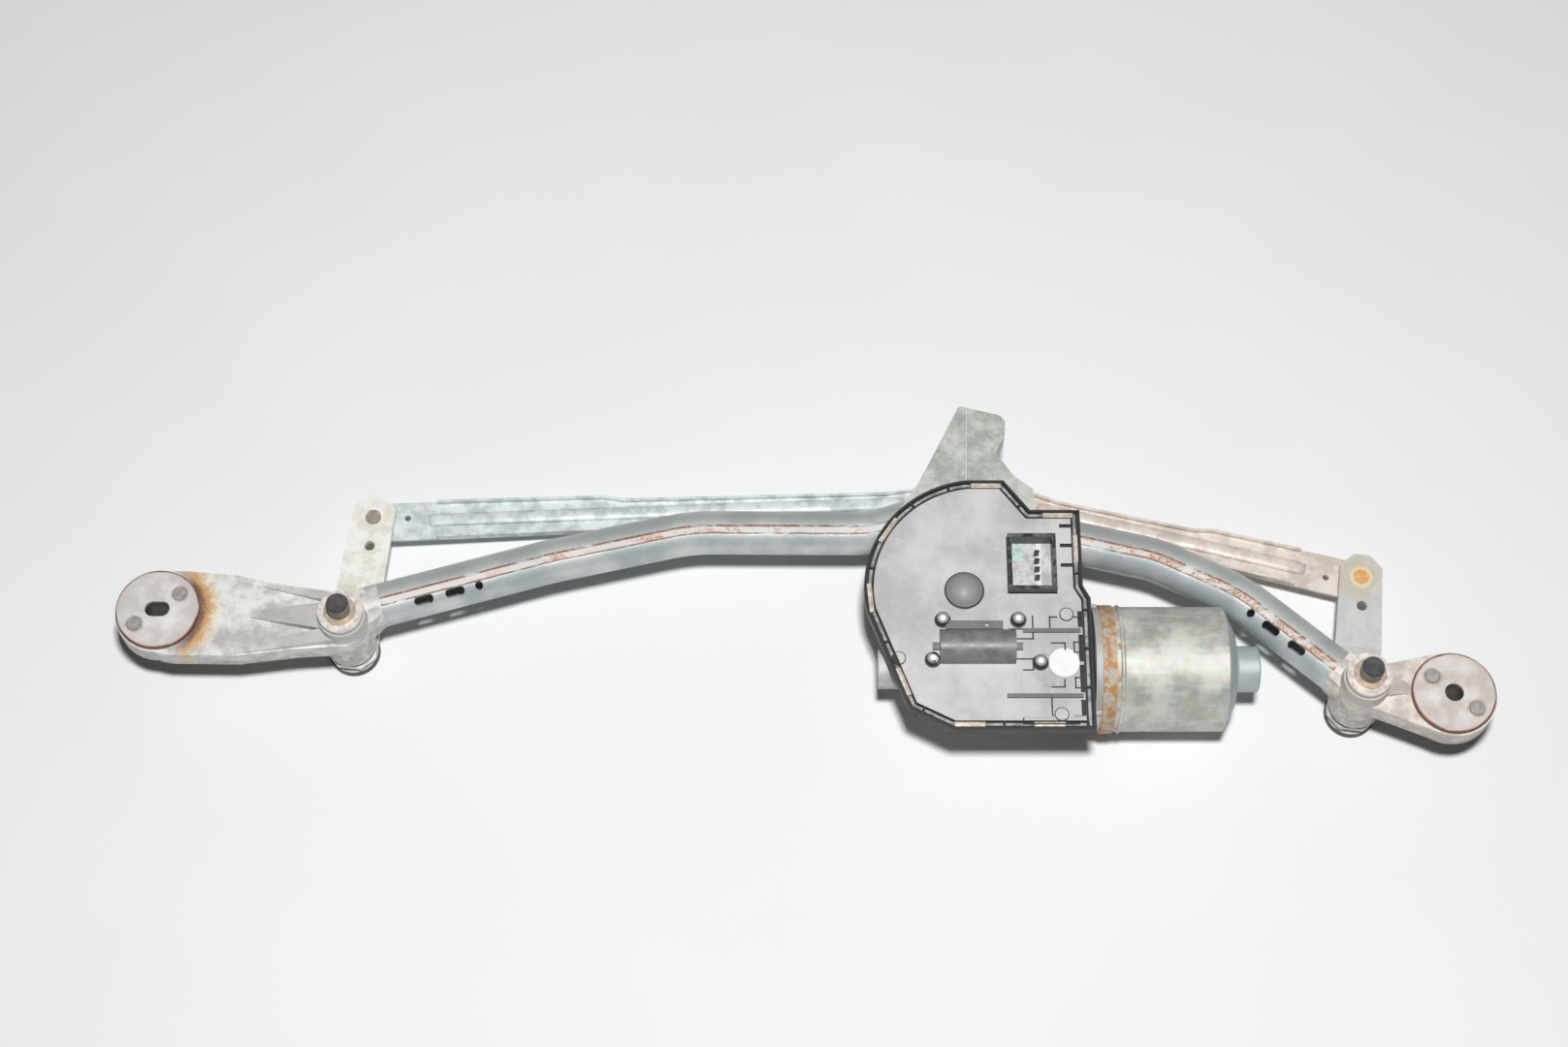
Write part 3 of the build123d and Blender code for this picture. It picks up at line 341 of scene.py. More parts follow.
def plate_finish(name, centre, heading, tone):
    finish = Finish(name)
    rivets = rivet_spots(centre, heading)
    away = finish.away(*centre)
    cloud = finish.noise(12.0, 4.0)
    fine = finish.noise(1.2, 3.0)
    colour = finish.mix(finish.ramp(cloud, 0.35, 0.7), tone, shade(0.78, 0.02))
    rim = finish.ramp(away + cloud * 2.6, PLATE_RADIUS - 0.1, PLATE_RADIUS + 0.9)
    pink = finish.ramp(away + cloud * 16.0, PLATE_RADIUS - 2.0, PLATE_RADIUS + 10.0)
    colour = finish.mix(pink * 0.35, colour, (0.50, 0.36, 0.31, 1.0))
    for spot in rivets:
        halo = finish.ramp(finish.away(*spot) + fine * 1.6 + cloud * 3.0, 8.6, 5.4)
        colour = finish.mix(halo * 0.75, colour, (0.28, 0.16, 0.12, 1.0))
    colour = finish.mix(rim, colour, RUST)
    colour = finish.mix(finish.ramp(fine, 0.62, 0.75) * 0.25, colour, PALE_RUST)
    return finish.done(colour, finish.ramp(cloud, 0.3, 0.7, 0.42, 0.55), 0.08 - rim * 0.05, fine, 0.06)


def rubber_finish():
    finish = Finish("grommet_rubber")
    dust = finish.ramp(finish.noise(4.0, 4.0), 0.45, 0.7)
    return finish.done(finish.mix(dust * 0.5, shade(0.02), shade(0.09, 0.05)), 0.8)


coat(plate_finish("left_plate_zinc", LEFT_MOUNT, 37.0, (0.60, 0.58, 0.56, 1.0)), "left_mount_plate")
coat(plate_finish("right_plate_zinc", RIGHT_MOUNT, -40.0, (0.60, 0.54, 0.50, 1.0)), "right_mount_plate")
coat(rubber_finish(), "left_grommet", "right_grommet")


def turned_finish(name, level, warmth, roughness):
    """Machined steel, oiled, with fine dark specks."""
    finish = Finish(name)
    cloud = finish.noise(3.0, 4.0)
    speck = finish.ramp(finish.noise(0.7, 2.0), 0.6, 0.7) * 0.4
    colour = finish.mix(finish.ramp(cloud, 0.3, 0.7), shade(level * 0.75, warmth), shade(level, warmth))
    colour = finish.mix(speck, colour, shade(0.05, 0.1))
    return finish.done(colour, finish.ramp(cloud, 0.3, 0.7, roughness, roughness + 0.12), 0.5, cloud, 0.04)


coat(turned_finish("rivet_steel", 0.46, 0.06, 0.45), "left_mount_rivets", "right_mount_rivets")
coat(turned_finish("sleeve_steel", 0.14, 0.02, 0.45), "left_sleeve", "right_sleeve")

# Spindles: hardened steel, blackened, in sintered bushes, with a zinc washer and a golden
# retaining ring on top and a foot disc on the riveted lower end. Fine splines run round each tip.
LEFT_PIVOT = (-619.0, 43.0)
RIGHT_PIVOT = (-49.0, 5.5)
SPLINE_COUNT = 30
SPLINE_RADIUS = 5.9
SPLINE_LOW = 31.5
SPLINE_HIGH = 38.6
SPLINE_WIDTH = 0.95
SPLINE_DEPTH = 0.38
FOOT_RADIUS = 14.5

black_steel = turned_finish("spindle_steel", 0.12, -0.03, 0.36)
coat(black_steel, "left_spindle", "right_spindle")
coat(turned_finish("washer_zinc", 0.86, 0.07, 0.38), "left_washer", "right_washer")
coat(turned_finish("ring_steel", 0.56, 0.24, 0.35), "left_retaining_ring", "right_retaining_ring")
coat(turned_finish("bush_bronze", 0.30, 0.25, 0.5), "left_bushes", "right_bushes", "output_bush")


def foot_finish(name, pivot):
    """Pale disc in cloudy tones, with its rim and edge painted black as painted shade."""
    finish = Finish(name)
    away = finish.away(*pivot)
    cloud = finish.noise(4.0, 4.0)
    colour = finish.mix(finish.ramp(cloud, 0.35, 0.65), (0.52, 0.47, 0.42, 1.0), (0.74, 0.70, 0.64, 1.0))
    # Painted shade: the outer rim and the edge of the disc made black.
    colour = finish.mix(finish.ramp(away + cloud, FOOT_RADIUS - 0.6, FOOT_RADIUS + 0.1), colour, shade(0.05))
    return finish.done(colour, finish.ramp(cloud, 0.3, 0.7, 0.4, 0.55), 0.15, cloud, 0.06)


coat(foot_finish("left_foot_zinc", LEFT_PIVOT), "left_foot_disc")
coat(foot_finish("right_foot_zinc", RIGHT_PIVOT), "right_foot_disc")


def spline_tooth(width, height, low, high):
    """One ridge with sloping flanks, standing on the plane X = 0."""
    form = bmesh.new()
    section = [(0.0, -width / 2), (height, -width / 5), (height, width / 5), (0.0, width / 2)]
    rings = [[form.verts.new((x * MM, y * MM, z * MM)) for x, y in section] for z in (low, high)]
    for index in range(4):
        after = (index + 1) % 4
        form.faces.new((rings[0][index], rings[0][after], rings[1][after], rings[1][index]))
    form.faces.new(reversed(rings[0]))
    form.faces.new(rings[1])
    mesh = bpy.data.meshes.new("tooth")
    form.to_mesh(mesh)
    form.free()
    return mesh


def ring_nodes(name, material):
    """Geometry Nodes that repeat the mesh they are given evenly round the Z axis."""
    tree = bpy.data.node_groups.new(name, "GeometryNodeTree")
    tree.interface.new_socket("Geometry", in_out="INPUT", socket_type="NodeSocketGeometry")
    tree.interface.new_socket("Count", in_out="INPUT", socket_type="NodeSocketInt")
    tree.interface.new_socket("Radius", in_out="INPUT", socket_type="NodeSocketFloat")
    tree.interface.new_socket("Geometry", in_out="OUTPUT", socket_type="NodeSocketGeometry")
    given = tree.nodes.new("NodeGroupInput")
    circle = tree.nodes.new("GeometryNodeMeshCircle")
    outward = tree.nodes.new("FunctionNodeAlignRotationToVector")
    outward.axis = "X"
    where = tree.nodes.new("GeometryNodeInputPosition")
    place = tree.nodes.new("GeometryNodeInstanceOnPoints")
    real = tree.nodes.new("GeometryNodeRealizeInstances")
    paint = tree.nodes.new("GeometryNodeSetMaterial")
    paint.inputs["Material"].default_value = material
    result = tree.nodes.new("NodeGroupOutput")
    for start, end in (
        (given.outputs["Count"], circle.inputs["Vertices"]),
        (given.outputs["Radius"], circle.inputs["Radius"]),
        (where.outputs["Position"], outward.inputs["Vector"]),
        (circle.outputs["Mesh"], place.inputs["Points"]),
        (given.outputs["Geometry"], place.inputs["Instance"]),
        (outward.outputs["Rotation"], place.inputs["Rotation"]),
        (place.outputs["Instances"], real.inputs["Geometry"]),
        (real.outputs["Geometry"], paint.inputs["Geometry"]),
        (paint.outputs["Geometry"], result.inputs["Geometry"]),
    ):
        tree.links.new(start, end)
    return tree


def built(name, mesh, tree, values, place=Matrix()):
    """The mesh that a tree of Geometry Nodes makes from another, set down at its place."""
    piece = bpy.data.objects.new(name, mesh)
    bpy.context.collection.objects.link(piece)
    nodes = piece.modifiers.new("nodes", "NODES")
    nodes.node_group = tree
    for item in tree.interface.items_tree:
        if item.in_out == "INPUT" and item.name in values:
            nodes[item.identifier] = values[item.name]
    seen = piece.evaluated_get(bpy.context.evaluated_depsgraph_get())
    result = bpy.data.meshes.new_from_object(seen)
    piece.modifiers.remove(nodes)
    piece.data = result
    result.transform(place)
    return piece


for side, pivot in (("left", LEFT_PIVOT), ("right", RIGHT_PIVOT)):
    tooth = spline_tooth(SPLINE_WIDTH, SPLINE_DEPTH, SPLINE_LOW, SPLINE_HIGH)
    splines = built(f"{side}_splines", tooth, ring_nodes(f"{side}_splines", black_steel),
                    {"Count": SPLINE_COUNT, "Radius": SPLINE_RADIUS * MM},
                    Matrix.Translation((pivot[0] * MM, pivot[1] * MM, 0.0)))
    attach(splines, f"{side}_lever")

# Levers, crank and push rods: pressed steel strip, zinc plated. The left rod is still bright,
# the right one carries a film of road dust, and the stud heads have started to rust.
RIGHT_BALL = (-40.06, 80.47)


def zinc_finish(name, tone, dust, amount, patch, stain_at=None):
    finish = Finish(name)
    crystals = finish.cells(3.0)
    cloud = finish.noise(patch, 4.0, 0.6)
    fine = finish.noise(0.9, 3.0)
    colour = finish.mix(0.06, tone, crystals)
    colour = finish.mix(finish.ramp(cloud, 0.38, 0.62) * amount, colour, dust)
    colour = finish.mix(finish.ramp(fine, 0.62, 0.74) * 0.2, colour, shade(0.2, 0.05))
    if stain_at:
        away = finish.away(*stain_at)
        spread = finish.ramp(away + cloud * 14.0, 25.0, 17.0) * finish.ramp(cloud, 0.35, 0.55)
        colour = finish.mix(spread * 0.55, colour, (0.60, 0.50, 0.26, 1.0))
        colour = finish.mix(finish.ramp(away, 7.5, 5.5) * 0.7, colour, (0.85, 0.74, 0.50, 1.0))
    return finish.done(colour, finish.ramp(cloud, 0.3, 0.7, 0.36, 0.52), 0.08, fine + cloud, 0.08)


coat(zinc_finish("left_lever_zinc", (0.93, 0.93, 0.88, 1.0), (0.66, 0.63, 0.53, 1.0), 0.7, 8.0),
     "left_lever")
coat(zinc_finish("right_lever_zinc", (0.66, 0.66, 0.645, 1.0), (0.53, 0.535, 0.54, 1.0), 0.8, 8.0,
                 RIGHT_BALL),
     "right_lever", "crank_arm")
left_rod_zinc = zinc_finish("left_rod_zinc", (0.76, 0.81, 0.82, 1.0), (0.44, 0.49, 0.50, 1.0), 0.85, 10.0)
right_rod_zinc = zinc_finish("right_rod_zinc", (0.82, 0.74, 0.67, 1.0), (0.54, 0.46, 0.40, 1.0), 0.8, 11.0)
coat(left_rod_zinc, "left_push_rod")
coat(right_rod_zinc, "right_push_rod")

# A bead pressed up along the middle of each rod, from near the lever's ball to near the crank's
LEFT_BALL = (-610.06, 117.97)
CRANK_BALL = (-262.06, 136.47)
LEVER_BALL_Z = -20.5
CRANK_BALL_Z = {"left": -31.0, "right": -20.5}
WEB_TOP = 0.9
BEAD_START = 36.0
BEAD_END = 44.0
BEAD_WIDTH = 8.0
BEAD_RISE = 2.3
BEAD_STEPS = 10
BEAD_RUNOUT = 5.0


def pressed_bead(name, start, end):
    """A rounded ridge on the straight line between two points, run out at both ends."""
    line = Vector(end) - Vector(start)
    along = line.normalized()
    across = Vector((-along.y, along.x, 0.0)).normalized()
    up = along.cross(across)
    up = up if up.z > 0 else -up
    form = bmesh.new()
    rows = []
    last = line.length - BEAD_END
    for station, fullness in ((BEAD_START - BEAD_RUNOUT, 0.05), (BEAD_START - BEAD_RUNOUT / 2, 0.7),
                              (BEAD_START, 1.0), (last, 1.0), (last + BEAD_RUNOUT / 2, 0.7),
                              (last + BEAD_RUNOUT, 0.05)):
        row = []
        for step in range(BEAD_STEPS + 1):
            angle = math.pi * step / BEAD_STEPS
            side = -math.cos(angle) * BEAD_WIDTH / 2 * (0.8 + 0.2 * fullness)
            rise = WEB_TOP + BEAD_RISE * fullness * math.sin(angle) ** 0.6
            row.append(form.verts.new((Vector(start) + along * station + across * side + up * rise) * MM))
        rows.append(row)
    for near, far in zip(rows, rows[1:]):
        for index in range(BEAD_STEPS + 1):
            after = (index + 1) % (BEAD_STEPS + 1)
            form.faces.new((near[index], far[index], far[after], near[after]))
    form.faces.new(rows[0])
    form.faces.new(reversed(rows[-1]))
    bmesh.ops.recalc_face_normals(form, faces=form.faces)
    mesh = bpy.data.meshes.new(name)
    form.to_mesh(mesh)
    form.free()
    mesh.shade_smooth()
    piece = bpy.data.objects.new(name, mesh)
    bpy.context.collection.objects.link(piece)
    return piece


for side, ball, material in (("left", LEFT_BALL, left_rod_zinc), ("right", RIGHT_BALL, right_rod_zinc)):
    bead = pressed_bead(f"{side}_rod_bead", (*ball, LEVER_BALL_Z), (*CRANK_BALL, CRANK_BALL_Z[side]))
    bead.data.materials.append(material)
    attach(bead, f"{side}_rod")


def stud_finish(name, rust, pale):
    finish = Finish(name)
    cloud = finish.noise(2.5, 4.0, 0.7)
    colour = finish.mix(finish.ramp(cloud, 0.45, 0.65), rust, pale)
    return finish.done(colour, 0.55, 0.2, cloud, 0.1)


coat(stud_finish("left_stud_steel", (0.30, 0.26, 0.22, 1.0), (0.52, 0.48, 0.40, 1.0)),
     "left_ball_stud", "crank_ball_stud")
coat(stud_finish("right_stud_steel", (0.72, 0.36, 0.11, 1.0), (0.85, 0.57, 0.26, 1.0)), "right_ball_stud")


def moulded_finish(name, colour_low, colour_high, roughness, patch=20.0):
    finish = Finish(name)
    cloud = finish.noise(patch, 5.0, 0.65)
    grain = finish.noise(0.5, 2.0)
    colour = finish.mix(finish.ramp(cloud, 0.3, 0.7), colour_low, colour_high)
    return finish.done(colour, finish.ramp(cloud, 0.3, 0.7, roughness, roughness + 0.15), 0.0, grain, 0.03)


coat(moulded_finish("cup_acetal", shade(0.55, 0.04), shade(0.68, 0.04), 0.4),
     "left_outer_cup", "left_inner_cup", "right_outer_cup", "right_inner_cup")
coat(turned_finish("output_steel", 0.3, 0.0, 0.35),
     "output_shaft", "armature", "rear_bearing", "front_bearing")
coat(moulded_finish("wheel_acetal", shade(0.70, 0.05), shade(0.78, 0.05), 0.35), "worm_wheel")

# Gear cover: glass-filled black moulding with pale road dust on the raised field. The segmented
# bead in its rim is clamped by eight tinned clips, each with a stripe of bare copper. Fine raised
# lines and collars stand on the field, black where the dust has been knocked off them.
COVER_TOP = 25.0
OUTPUT = (-271.0, 61.5)
SOCKET_FLOOR_Z = 21.0

# Its outline from the output's axis, clockwise, and the round end that closes it
COVER_PLAN = [(3.0, 63.0), (24.0, 63.0), (38.5, 44.5), (66.5, 44.5), (66.5, -2.0), (70.5, -9.5),
              (70.5, -87.5), (-8.0, -87.5), (-32.0, -75.5), (-54.5, -17.5)]
COVER_BULGE = (-42.0, 37.5)
HOLLOW_CORNERS = (2, 4)
RIM = 5.0
DOME = (-271.0, 56.5)
DOME_RADIUS = 10.3


def circle_through(first, second, third):
    """Centre and radius of the circle through three plan points."""
    (ax, ay), (bx, by), (cx, cy) = first, second, third
    twice = 2.0 * (ax * (by - cy) + bx * (cy - ay) + cx * (ay - by))
    a2, b2, c2 = ax * ax + ay * ay, bx * bx + by * by, cx * cx + cy * cy
    x = (a2 * (by - cy) + b2 * (cy - ay) + c2 * (ay - by)) / twice
    y = (a2 * (cx - bx) + b2 * (ax - cx) + c2 * (bx - ax)) / twice
    return (x, y), math.hypot(ax - x, ay - y)


def depth_from_edge(finish):
    """How far inside the cover's outline a spot lies, in millimetres."""
    x, y = finish.axis("X") - OUTPUT[0], finish.axis("Y") - OUTPUT[1]
    depths = []
    for start, end in zip(COVER_PLAN, COVER_PLAN[1:]):
        along = (Vector(end) - Vector(start)).normalized()
        depths.append((x - start[0]) * along.y - (y - start[1]) * along.x)
    for corner in HOLLOW_CORNERS:
        depths[corner - 1] = x.maths("MAXIMUM", depths[corner - 1], depths[corner])
        depths[corner] = depths[corner - 1]
    centre, radius = circle_through(COVER_PLAN[-1], COVER_BULGE, COVER_PLAN[0])
    round_end = radius - ((x - centre[0]) ** 2.0 + (y - centre[1]) ** 2.0) ** 0.5
    round_end = x.maths("MAXIMUM", round_end, x - COVER_PLAN[0][0])
    depth = x.maths("MAXIMUM", round_end, COVER_PLAN[-1][1] - y)
    for other in depths:
        depth = x.maths("MINIMUM", depth, other)
    return depth


def cover_finish():
    finish = Finish("cover_plastic")
    cloud = finish.noise(34.0, 5.0, 0.6)
    blot = finish.noise(5.0, 4.0, 0.7)
    speck = finish.noise(0.8, 2.0)
    height = finish.axis("Z")
    upward = finish.ramp(finish.faces("Z"), 0.25, 0.7)
    depth = depth_from_edge(finish)
    dusty = finish.mix(finish.ramp(cloud, 0.35, 0.65), (0.46, 0.45, 0.46, 1.0), (0.62, 0.61, 0.62, 1.0))
    dusty = finish.mix(finish.ramp(blot, 0.55, 0.72) * 0.45, dusty, shade(0.70, 0.01))
    dusty = finish.mix(finish.ramp(speck, 0.55, 0.75) * 0.14, dusty, shade(0.12))
    dusty = finish.mix(finish.ramp(height, COVER_TOP + 0.75, COVER_TOP + 1.0) * 0.85, dusty, shade(0.11))
    dusty = finish.mix(finish.ramp(height, COVER_TOP + 3.0, COVER_TOP + 3.4), dusty, shade(0.30))
    dome = finish.away(*DOME)
    dusty = finish.mix(finish.ramp(dome, DOME_RADIUS, DOME_RADIUS - 0.5) * 0.8, dusty, shade(0.30))
    # Painted shade: a black ring round the dome, as of a groove in shadow.
    dusty = finish.mix(finish.band(dome, DOME_RADIUS - 0.3, DOME_RADIUS + 0.9, 0.3), dusty, shade(0.03))
    field = finish.ramp(height, COVER_TOP - 0.4, COVER_TOP - 0.15) * finish.ramp(depth, RIM + 0.35, RIM + 0.6)
    bead = finish.band(height, COVER_TOP - 0.75, COVER_TOP - 0.4, 0.1) * finish.ramp(depth, RIM, RIM - 0.2)
    colour = finish.mix(field * upward, shade(0.022), dusty)
    worn_bead = finish.mix(finish.ramp(blot, 0.4, 0.6), shade(0.20), shade(0.42))
    colour = finish.mix(bead * upward, colour, worn_bead)
    return finish.done(colour, finish.ramp(cloud, 0.3, 0.7, 0.42, 0.58), 0.0, speck, 0.04)


def socket_finish():
    finish = Finish("socket_plastic")
    inside = finish.band(finish.axis("Z"), SOCKET_FLOOR_Z - 0.4, SOCKET_FLOOR_Z + 0.3, 0.1)
    cloud = finish.noise(6.0, 4.0, 0.7)
    floor = finish.mix(finish.ramp(cloud, 0.4, 0.6), shade(0.46), shade(0.66))
    # A painted glint: a white stripe across the floor of the socket.
    floor = finish.mix(finish.band(finish.axis("X"), -229.5, -227.0, 0.3) * 0.7, floor, shade(0.88))
    near_latch = finish.ramp(finish.axis("X"), -236.0, -240.0) * finish.ramp(finish.axis("Y"), 74.0, 79.0)
    floor = finish.mix(finish.ramp(cloud, 0.48, 0.53) * near_latch * 0.8, floor, (0.42, 0.80, 0.62, 1.0))
    top = finish.ramp(finish.axis("Z"), 30.0, 30.8)
    colour = finish.mix(inside * finish.ramp(finish.faces("Z"), 0.6, 0.9), shade(0.03), floor)
    colour = finish.mix(top * finish.ramp(cloud, 0.4, 0.6) * 0.5, colour, shade(0.22))
    return finish.done(colour, finish.ramp(cloud, 0.3, 0.7, 0.3, 0.45), 0.0, cloud, 0.03)


black_plastic = moulded_finish("black_plastic", shade(0.02), shade(0.045), 0.4)
pale_plastic = moulded_finish("pale_plastic", shade(0.84), shade(0.90), 0.7, 4.0)
copper = turned_finish("bare_copper", 0.62, 0.32, 0.35)
coat(cover_finish(), "gear_cover")
coat(socket_finish(), "connector_socket")
coat(moulded_finish("hood_plastic", shade(0.15), shade(0.24), 0.34, 9.0), "cover_hood")
coat(black_plastic, "brush_plate", "terminals")
coat(pale_plastic, "vent_membrane")
coat(turned_finish("clip_tin", 0.86, 0.04, 0.3), "cover_clips", "gearbox_screws", "commutator")
coat(turned_finish("magnet_ferrite", 0.06, 0.0, 0.6), "motor_magnets")

# Lines on the field, each from one corner to the next, measured from the output's axis
LINE_WIDTH = 0.85
LINE_RISE = 0.4
LINE_FOOT = 0.01
COVER_LINES = [
    [(37.5, -20.5), (37.5, -31.0)], [(26.5, -34.0), (37.5, -34.0), (37.5, -31.2)],
    [(26.5, -46.0), (37.0, -46.0), (37.0, -52.5), (30.5, -52.5)],
    [(30.5, -53.0), (30.5, -84.0), (61.0, -84.0)],
    [(47.0, -29.0), (47.0, -21.0), (51.0, -21.0)], [(60.5, -21.0), (64.0, -21.0)],
    [(46.5, -68.0), (46.5, -79.5), (50.5, -79.5)], [(58.5, -79.5), (62.5, -79.5)],
    [(47.0, -36.5), (55.0, -36.5), (55.0, -40.5)], [(47.0, -62.5), (54.0, -62.5), (54.0, -58.5)],
    [(62.5, -36.0), (60.0, -36.0), (60.0, -42.0), (62.5, -42.0)],
    [(62.5, -57.0), (60.0, -57.0), (60.0, -63.0), (62.5, -63.0)],
]


def raised_lines(name, runs, width, low, high):
    """Fine ridges that follow runs of plan points measured from the output's axis."""
    form = bmesh.new()
    for run in runs:
        for start, end in zip(run, run[1:]):
            along = (Vector(end) - Vector(start)).normalized() * width / 2
            across = Vector((-along.y, along.x))
            first, last = Vector(start) - along, Vector(end) + along
            corners = [first + across, first - across, last - across, last + across]
            rings = []
            for level, inset in ((low, 1.0), (high, 0.6)):
                points = [corner - across * (1.0 - inset) * (1 if index in (0, 3) else -1)
                          for index, corner in enumerate(corners)]
                rings.append([form.verts.new(((OUTPUT[0] + p.x) * MM, (OUTPUT[1] + p.y) * MM, level * MM))
                              for p in points])
            for index in range(4):
                after = (index + 1) % 4
                form.faces.new((rings[0][index], rings[0][after], rings[1][after], rings[1][index]))
            form.faces.new(reversed(rings[0]))
            form.faces.new(rings[1])
    bmesh.ops.recalc_face_normals(form, faces=form.faces)
    mesh = bpy.data.meshes.new(name)
    form.to_mesh(mesh)
    form.free()
    piece = bpy.data.objects.new(name, mesh)
    bpy.context.collection.objects.link(piece)
    return piece


lines = raised_lines("cover_lines", COVER_LINES, LINE_WIDTH, COVER_TOP + LINE_FOOT, COVER_TOP + LINE_RISE)
lines.data.materials.append(black_plastic)
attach(lines, "frame")

# Collars and feet round the posts, pale eyelets in their bores, and rims round the buttons
POSTS = [(-12.6, -23.0), (-18.5, -46.7), (29.5, -23.0), (41.0, -48.4)]
POST_HEIGHT = 4.0
BUTTONS = [(-37.3, -45.6), (56.5, -19.5), (51.6, -78.6)]


def collar_nodes(name, material):
    """Geometry Nodes that set a ring of square section on every point they are given."""
    tree = bpy.data.node_groups.new(name, "GeometryNodeTree")
    tree.interface.new_socket("Geometry", in_out="INPUT", socket_type="NodeSocketGeometry")
    tree.interface.new_socket("Radius", in_out="INPUT", socket_type="NodeSocketFloat")
    tree.interface.new_socket("Section", in_out="INPUT", socket_type="NodeSocketFloat")
    tree.interface.new_socket("Geometry", in_out="OUTPUT", socket_type="NodeSocketGeometry")
    given = tree.nodes.new("NodeGroupInput")
    ring = tree.nodes.new("GeometryNodeCurvePrimitiveCircle")
    section = tree.nodes.new("GeometryNodeCurvePrimitiveQuadrilateral")
    solid = tree.nodes.new("GeometryNodeCurveToMesh")
    place = tree.nodes.new("GeometryNodeInstanceOnPoints")
    real = tree.nodes.new("GeometryNodeRealizeInstances")
    paint = tree.nodes.new("GeometryNodeSetMaterial")
    paint.inputs["Material"].default_value = material
    result = tree.nodes.new("NodeGroupOutput")
    for start, end in (
        (given.outputs["Radius"], ring.inputs["Radius"]), (given.outputs["Section"], section.inputs["Width"]),
        (given.outputs["Section"], section.inputs["Height"]), (ring.outputs["Curve"], solid.inputs["Curve"]),
        (section.outputs["Curve"], solid.inputs["Profile Curve"]),
        (given.outputs["Geometry"], place.inputs["Points"]),
        (solid.outputs["Mesh"], place.inputs["Instance"]),
        (place.outputs["Instances"], real.inputs["Geometry"]),
        (real.outputs["Geometry"], paint.inputs["Geometry"]),
        (paint.outputs["Geometry"], result.inputs["Geometry"]),
    ):
        tree.links.new(start, end)
    return tree


for name, spots, radius, section, rise, material, slot in (
        ("post_collars", POSTS, 3.35, 0.5, POST_HEIGHT - 0.2, black_plastic, "black_plastic"),
        ("post_feet", POSTS, 4.1, 0.9, 0.4, black_plastic, "black_plastic"),
        ("post_eyelets", POSTS, 0.88, 1.72, POST_HEIGHT - 0.88, pale_plastic, "membrane"),
        ("button_rims", BUTTONS, 3.8, 0.5, 0.3, black_plastic, "black_plastic")):
    points = bpy.data.meshes.new(name)
    points.from_pydata([((OUTPUT[0] + x) * MM, (OUTPUT[1] + y) * MM, (COVER_TOP + rise) * MM)
                        for x, y in spots], [], [])
    rims = built(name, points, collar_nodes(name, material),
                 {"Radius": radius * MM, "Section": section * MM})
    rims.data.shade_flat()
    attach(rims, "frame")

# Copper stripes on the clips: middle of each clip and the heading of its length, in degrees
CLIPS = [(14.0, 59.7, 0.0), (54.0, 41.2, 0.0), (-41.8, 32.1, 56.0), (-52.4, -9.3, 95.3),
         (-34.8, -59.2, 111.2), (1.0, -84.2, 0.0), (45.0, -84.2, 0.0), (63.2, 20.5, 90.0)]
COVER_MIDDLE = Vector((0.0, -12.0))
STRIPE_LENGTH = 15.5
STRIPE_WIDTH = 1.1
STRIPE_RISE = 0.12
STRIPE_INSET = 0.7
stripes = []
for x, y, heading in CLIPS:
    along = Vector((math.cos(math.radians(heading)), math.sin(math.radians(heading))))
    across = Vector((-along.y, along.x))
    inward = across if across.dot(COVER_MIDDLE - Vector((x, y))) > 0 else -across
    middle = Vector((x, y)) + inward * STRIPE_INSET
    stripes.append([middle - along * STRIPE_LENGTH / 2, middle + along * STRIPE_LENGTH / 2])
stripe = raised_lines("clip_stripes", stripes, STRIPE_WIDTH, COVER_TOP + LINE_FOOT, COVER_TOP + STRIPE_RISE)
stripe.data.materials.append(copper)
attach(stripe, "frame")

# Motor: deep-drawn galvanised steel can with a bearing pot, clamped on the gear housing by a
# band that has rusted through its plating.
CAN_START = -196.5


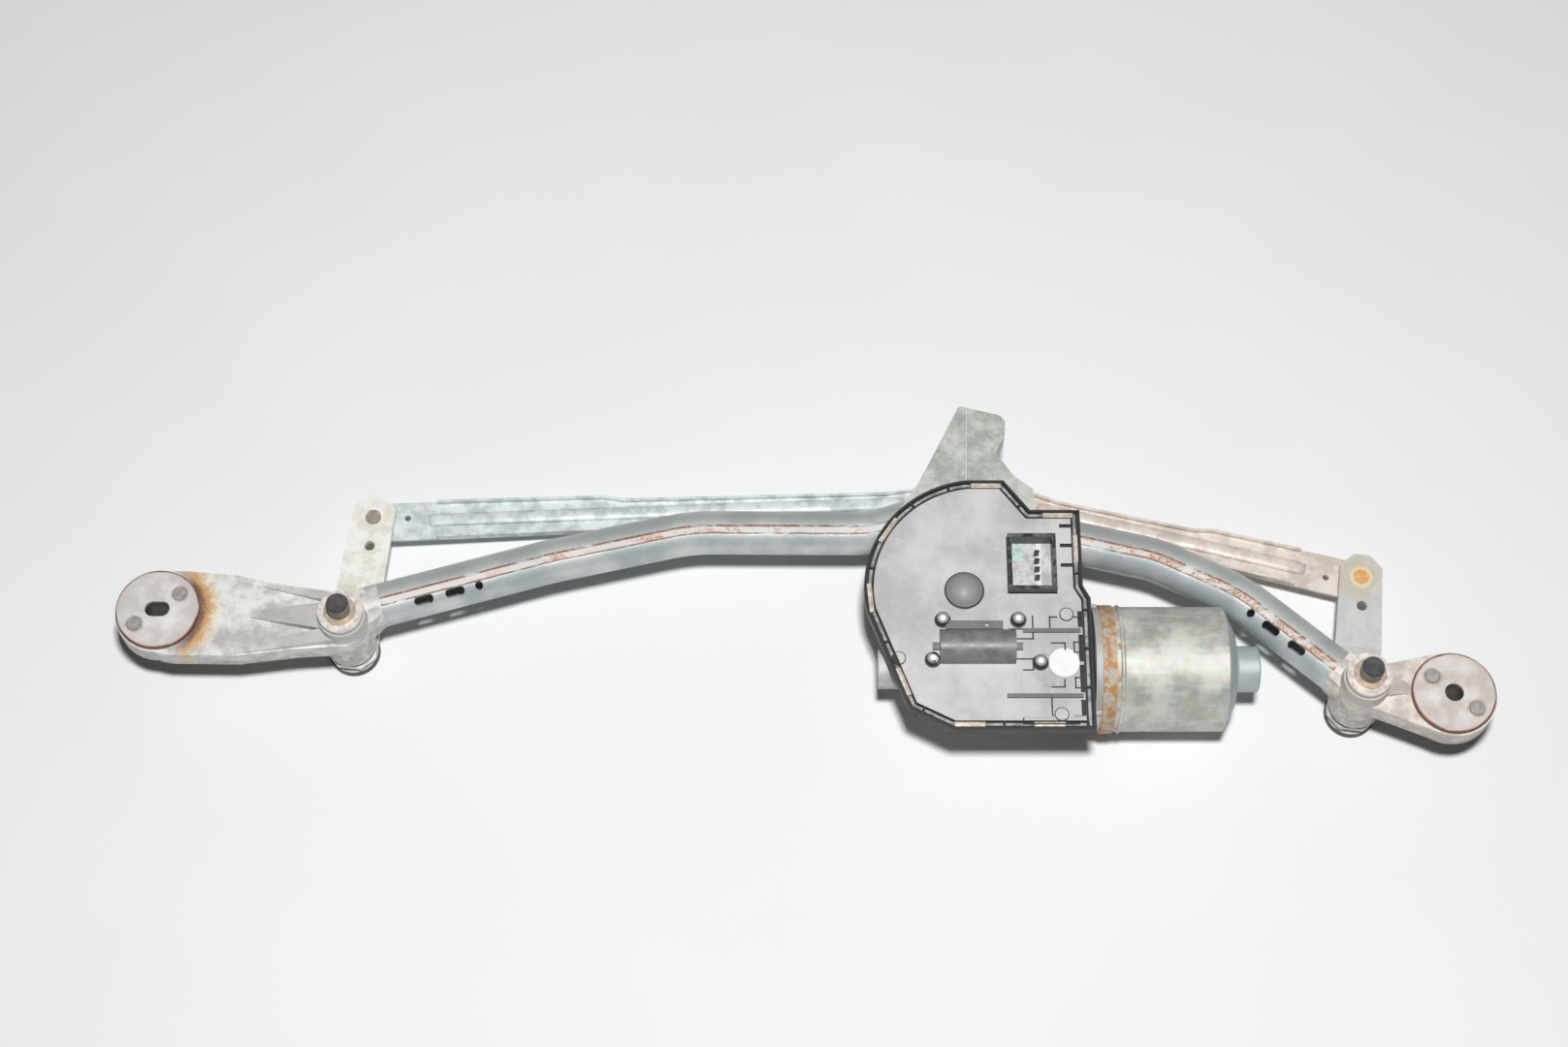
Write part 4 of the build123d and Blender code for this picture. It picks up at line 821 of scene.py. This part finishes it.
def can_finish():
    finish = Finish("can_zinc")
    cloud = finish.noise(16.0, 5.0, 0.6)
    crystals = finish.cells(4.0)
    drawn = finish.noise(3.0, 3.0, 0.5, finish.stretched((8.0, 1.0, 1.0)))
    along = finish.axis("X")
    colour = finish.mix(finish.ramp(cloud, 0.35, 0.65), (0.42, 0.42, 0.38, 1.0), (0.66, 0.67, 0.61, 1.0))
    colour = finish.mix(0.06, colour, crystals)
    colour = finish.mix(finish.ramp(drawn, 0.5, 0.7) * 0.3, colour, shade(0.78))
    rust = finish.ramp(along + cloud * 14.0, CAN_START + 18.0, CAN_START + 11.0)
    colour = finish.mix(rust * 0.8, colour, (0.56, 0.33, 0.15, 1.0))
    pot = finish.ramp(along, -127.0, -124.0)
    colour = finish.mix(pot * 0.8, colour, (0.44, 0.51, 0.54, 1.0))
    roughness = finish.ramp(cloud, 0.3, 0.7, 0.48, 0.62)
    return finish.done(colour, roughness, 0.25 - rust * 0.2, cloud + drawn, 0.1)


def band_finish():
    finish = Finish("band_rust")
    cloud = finish.noise(5.0, 5.0, 0.7)
    colour = finish.mix(finish.ramp(cloud, 0.42, 0.56), (0.50, 0.25, 0.09, 1.0), (0.50, 0.47, 0.39, 1.0))
    fine = finish.noise(1.1, 3.0)
    colour = finish.mix(finish.ramp(fine, 0.55, 0.7) * 0.5, colour, (0.24, 0.11, 0.05, 1.0))
    return finish.done(colour, 0.7, 0.1, cloud, 0.2)


coat(can_finish(), "motor_can")
band_rust = band_finish()
coat(band_rust, "can_clamp_ring")

# Crimped tabs beside the band
TAB_COUNT = 12
TAB_RADIUS = 34.7
TAB_STATION = 10.2
MOTOR_Y = 19.0


def crimp_tab():
    """A pressed tab with a rounded back, along Z and standing on the plane X = 0."""
    form = bmesh.new()
    rows = []
    for level in (-1.6, 0.0, 1.6):
        bulge = 0.95 if level == 0.0 else 0.45
        section = ((0.0, -2.0), (bulge * 0.8, -1.5), (bulge, 0.0), (bulge * 0.8, 1.5), (0.0, 2.0))
        rows.append([form.verts.new((x * MM, y * MM, level * MM)) for x, y in section])
    for below, above in zip(rows, rows[1:]):
        for index in range(5):
            after = (index + 1) % 5
            form.faces.new((below[index], below[after], above[after], above[index]))
    form.faces.new(reversed(rows[0]))
    form.faces.new(rows[-1])
    mesh = bpy.data.meshes.new("tab")
    form.to_mesh(mesh)
    form.free()
    return mesh


beside_band = Matrix.Translation(((CAN_START + TAB_STATION) * MM, MOTOR_Y * MM, 0.0))
tabs = built("crimp_tabs", crimp_tab(), ring_nodes("crimp_tabs", band_rust),
             {"Count": TAB_COUNT, "Radius": TAB_RADIUS * MM},
             beside_band @ Matrix.Rotation(math.pi / 2, 4, "Y"))
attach(tabs, "frame")
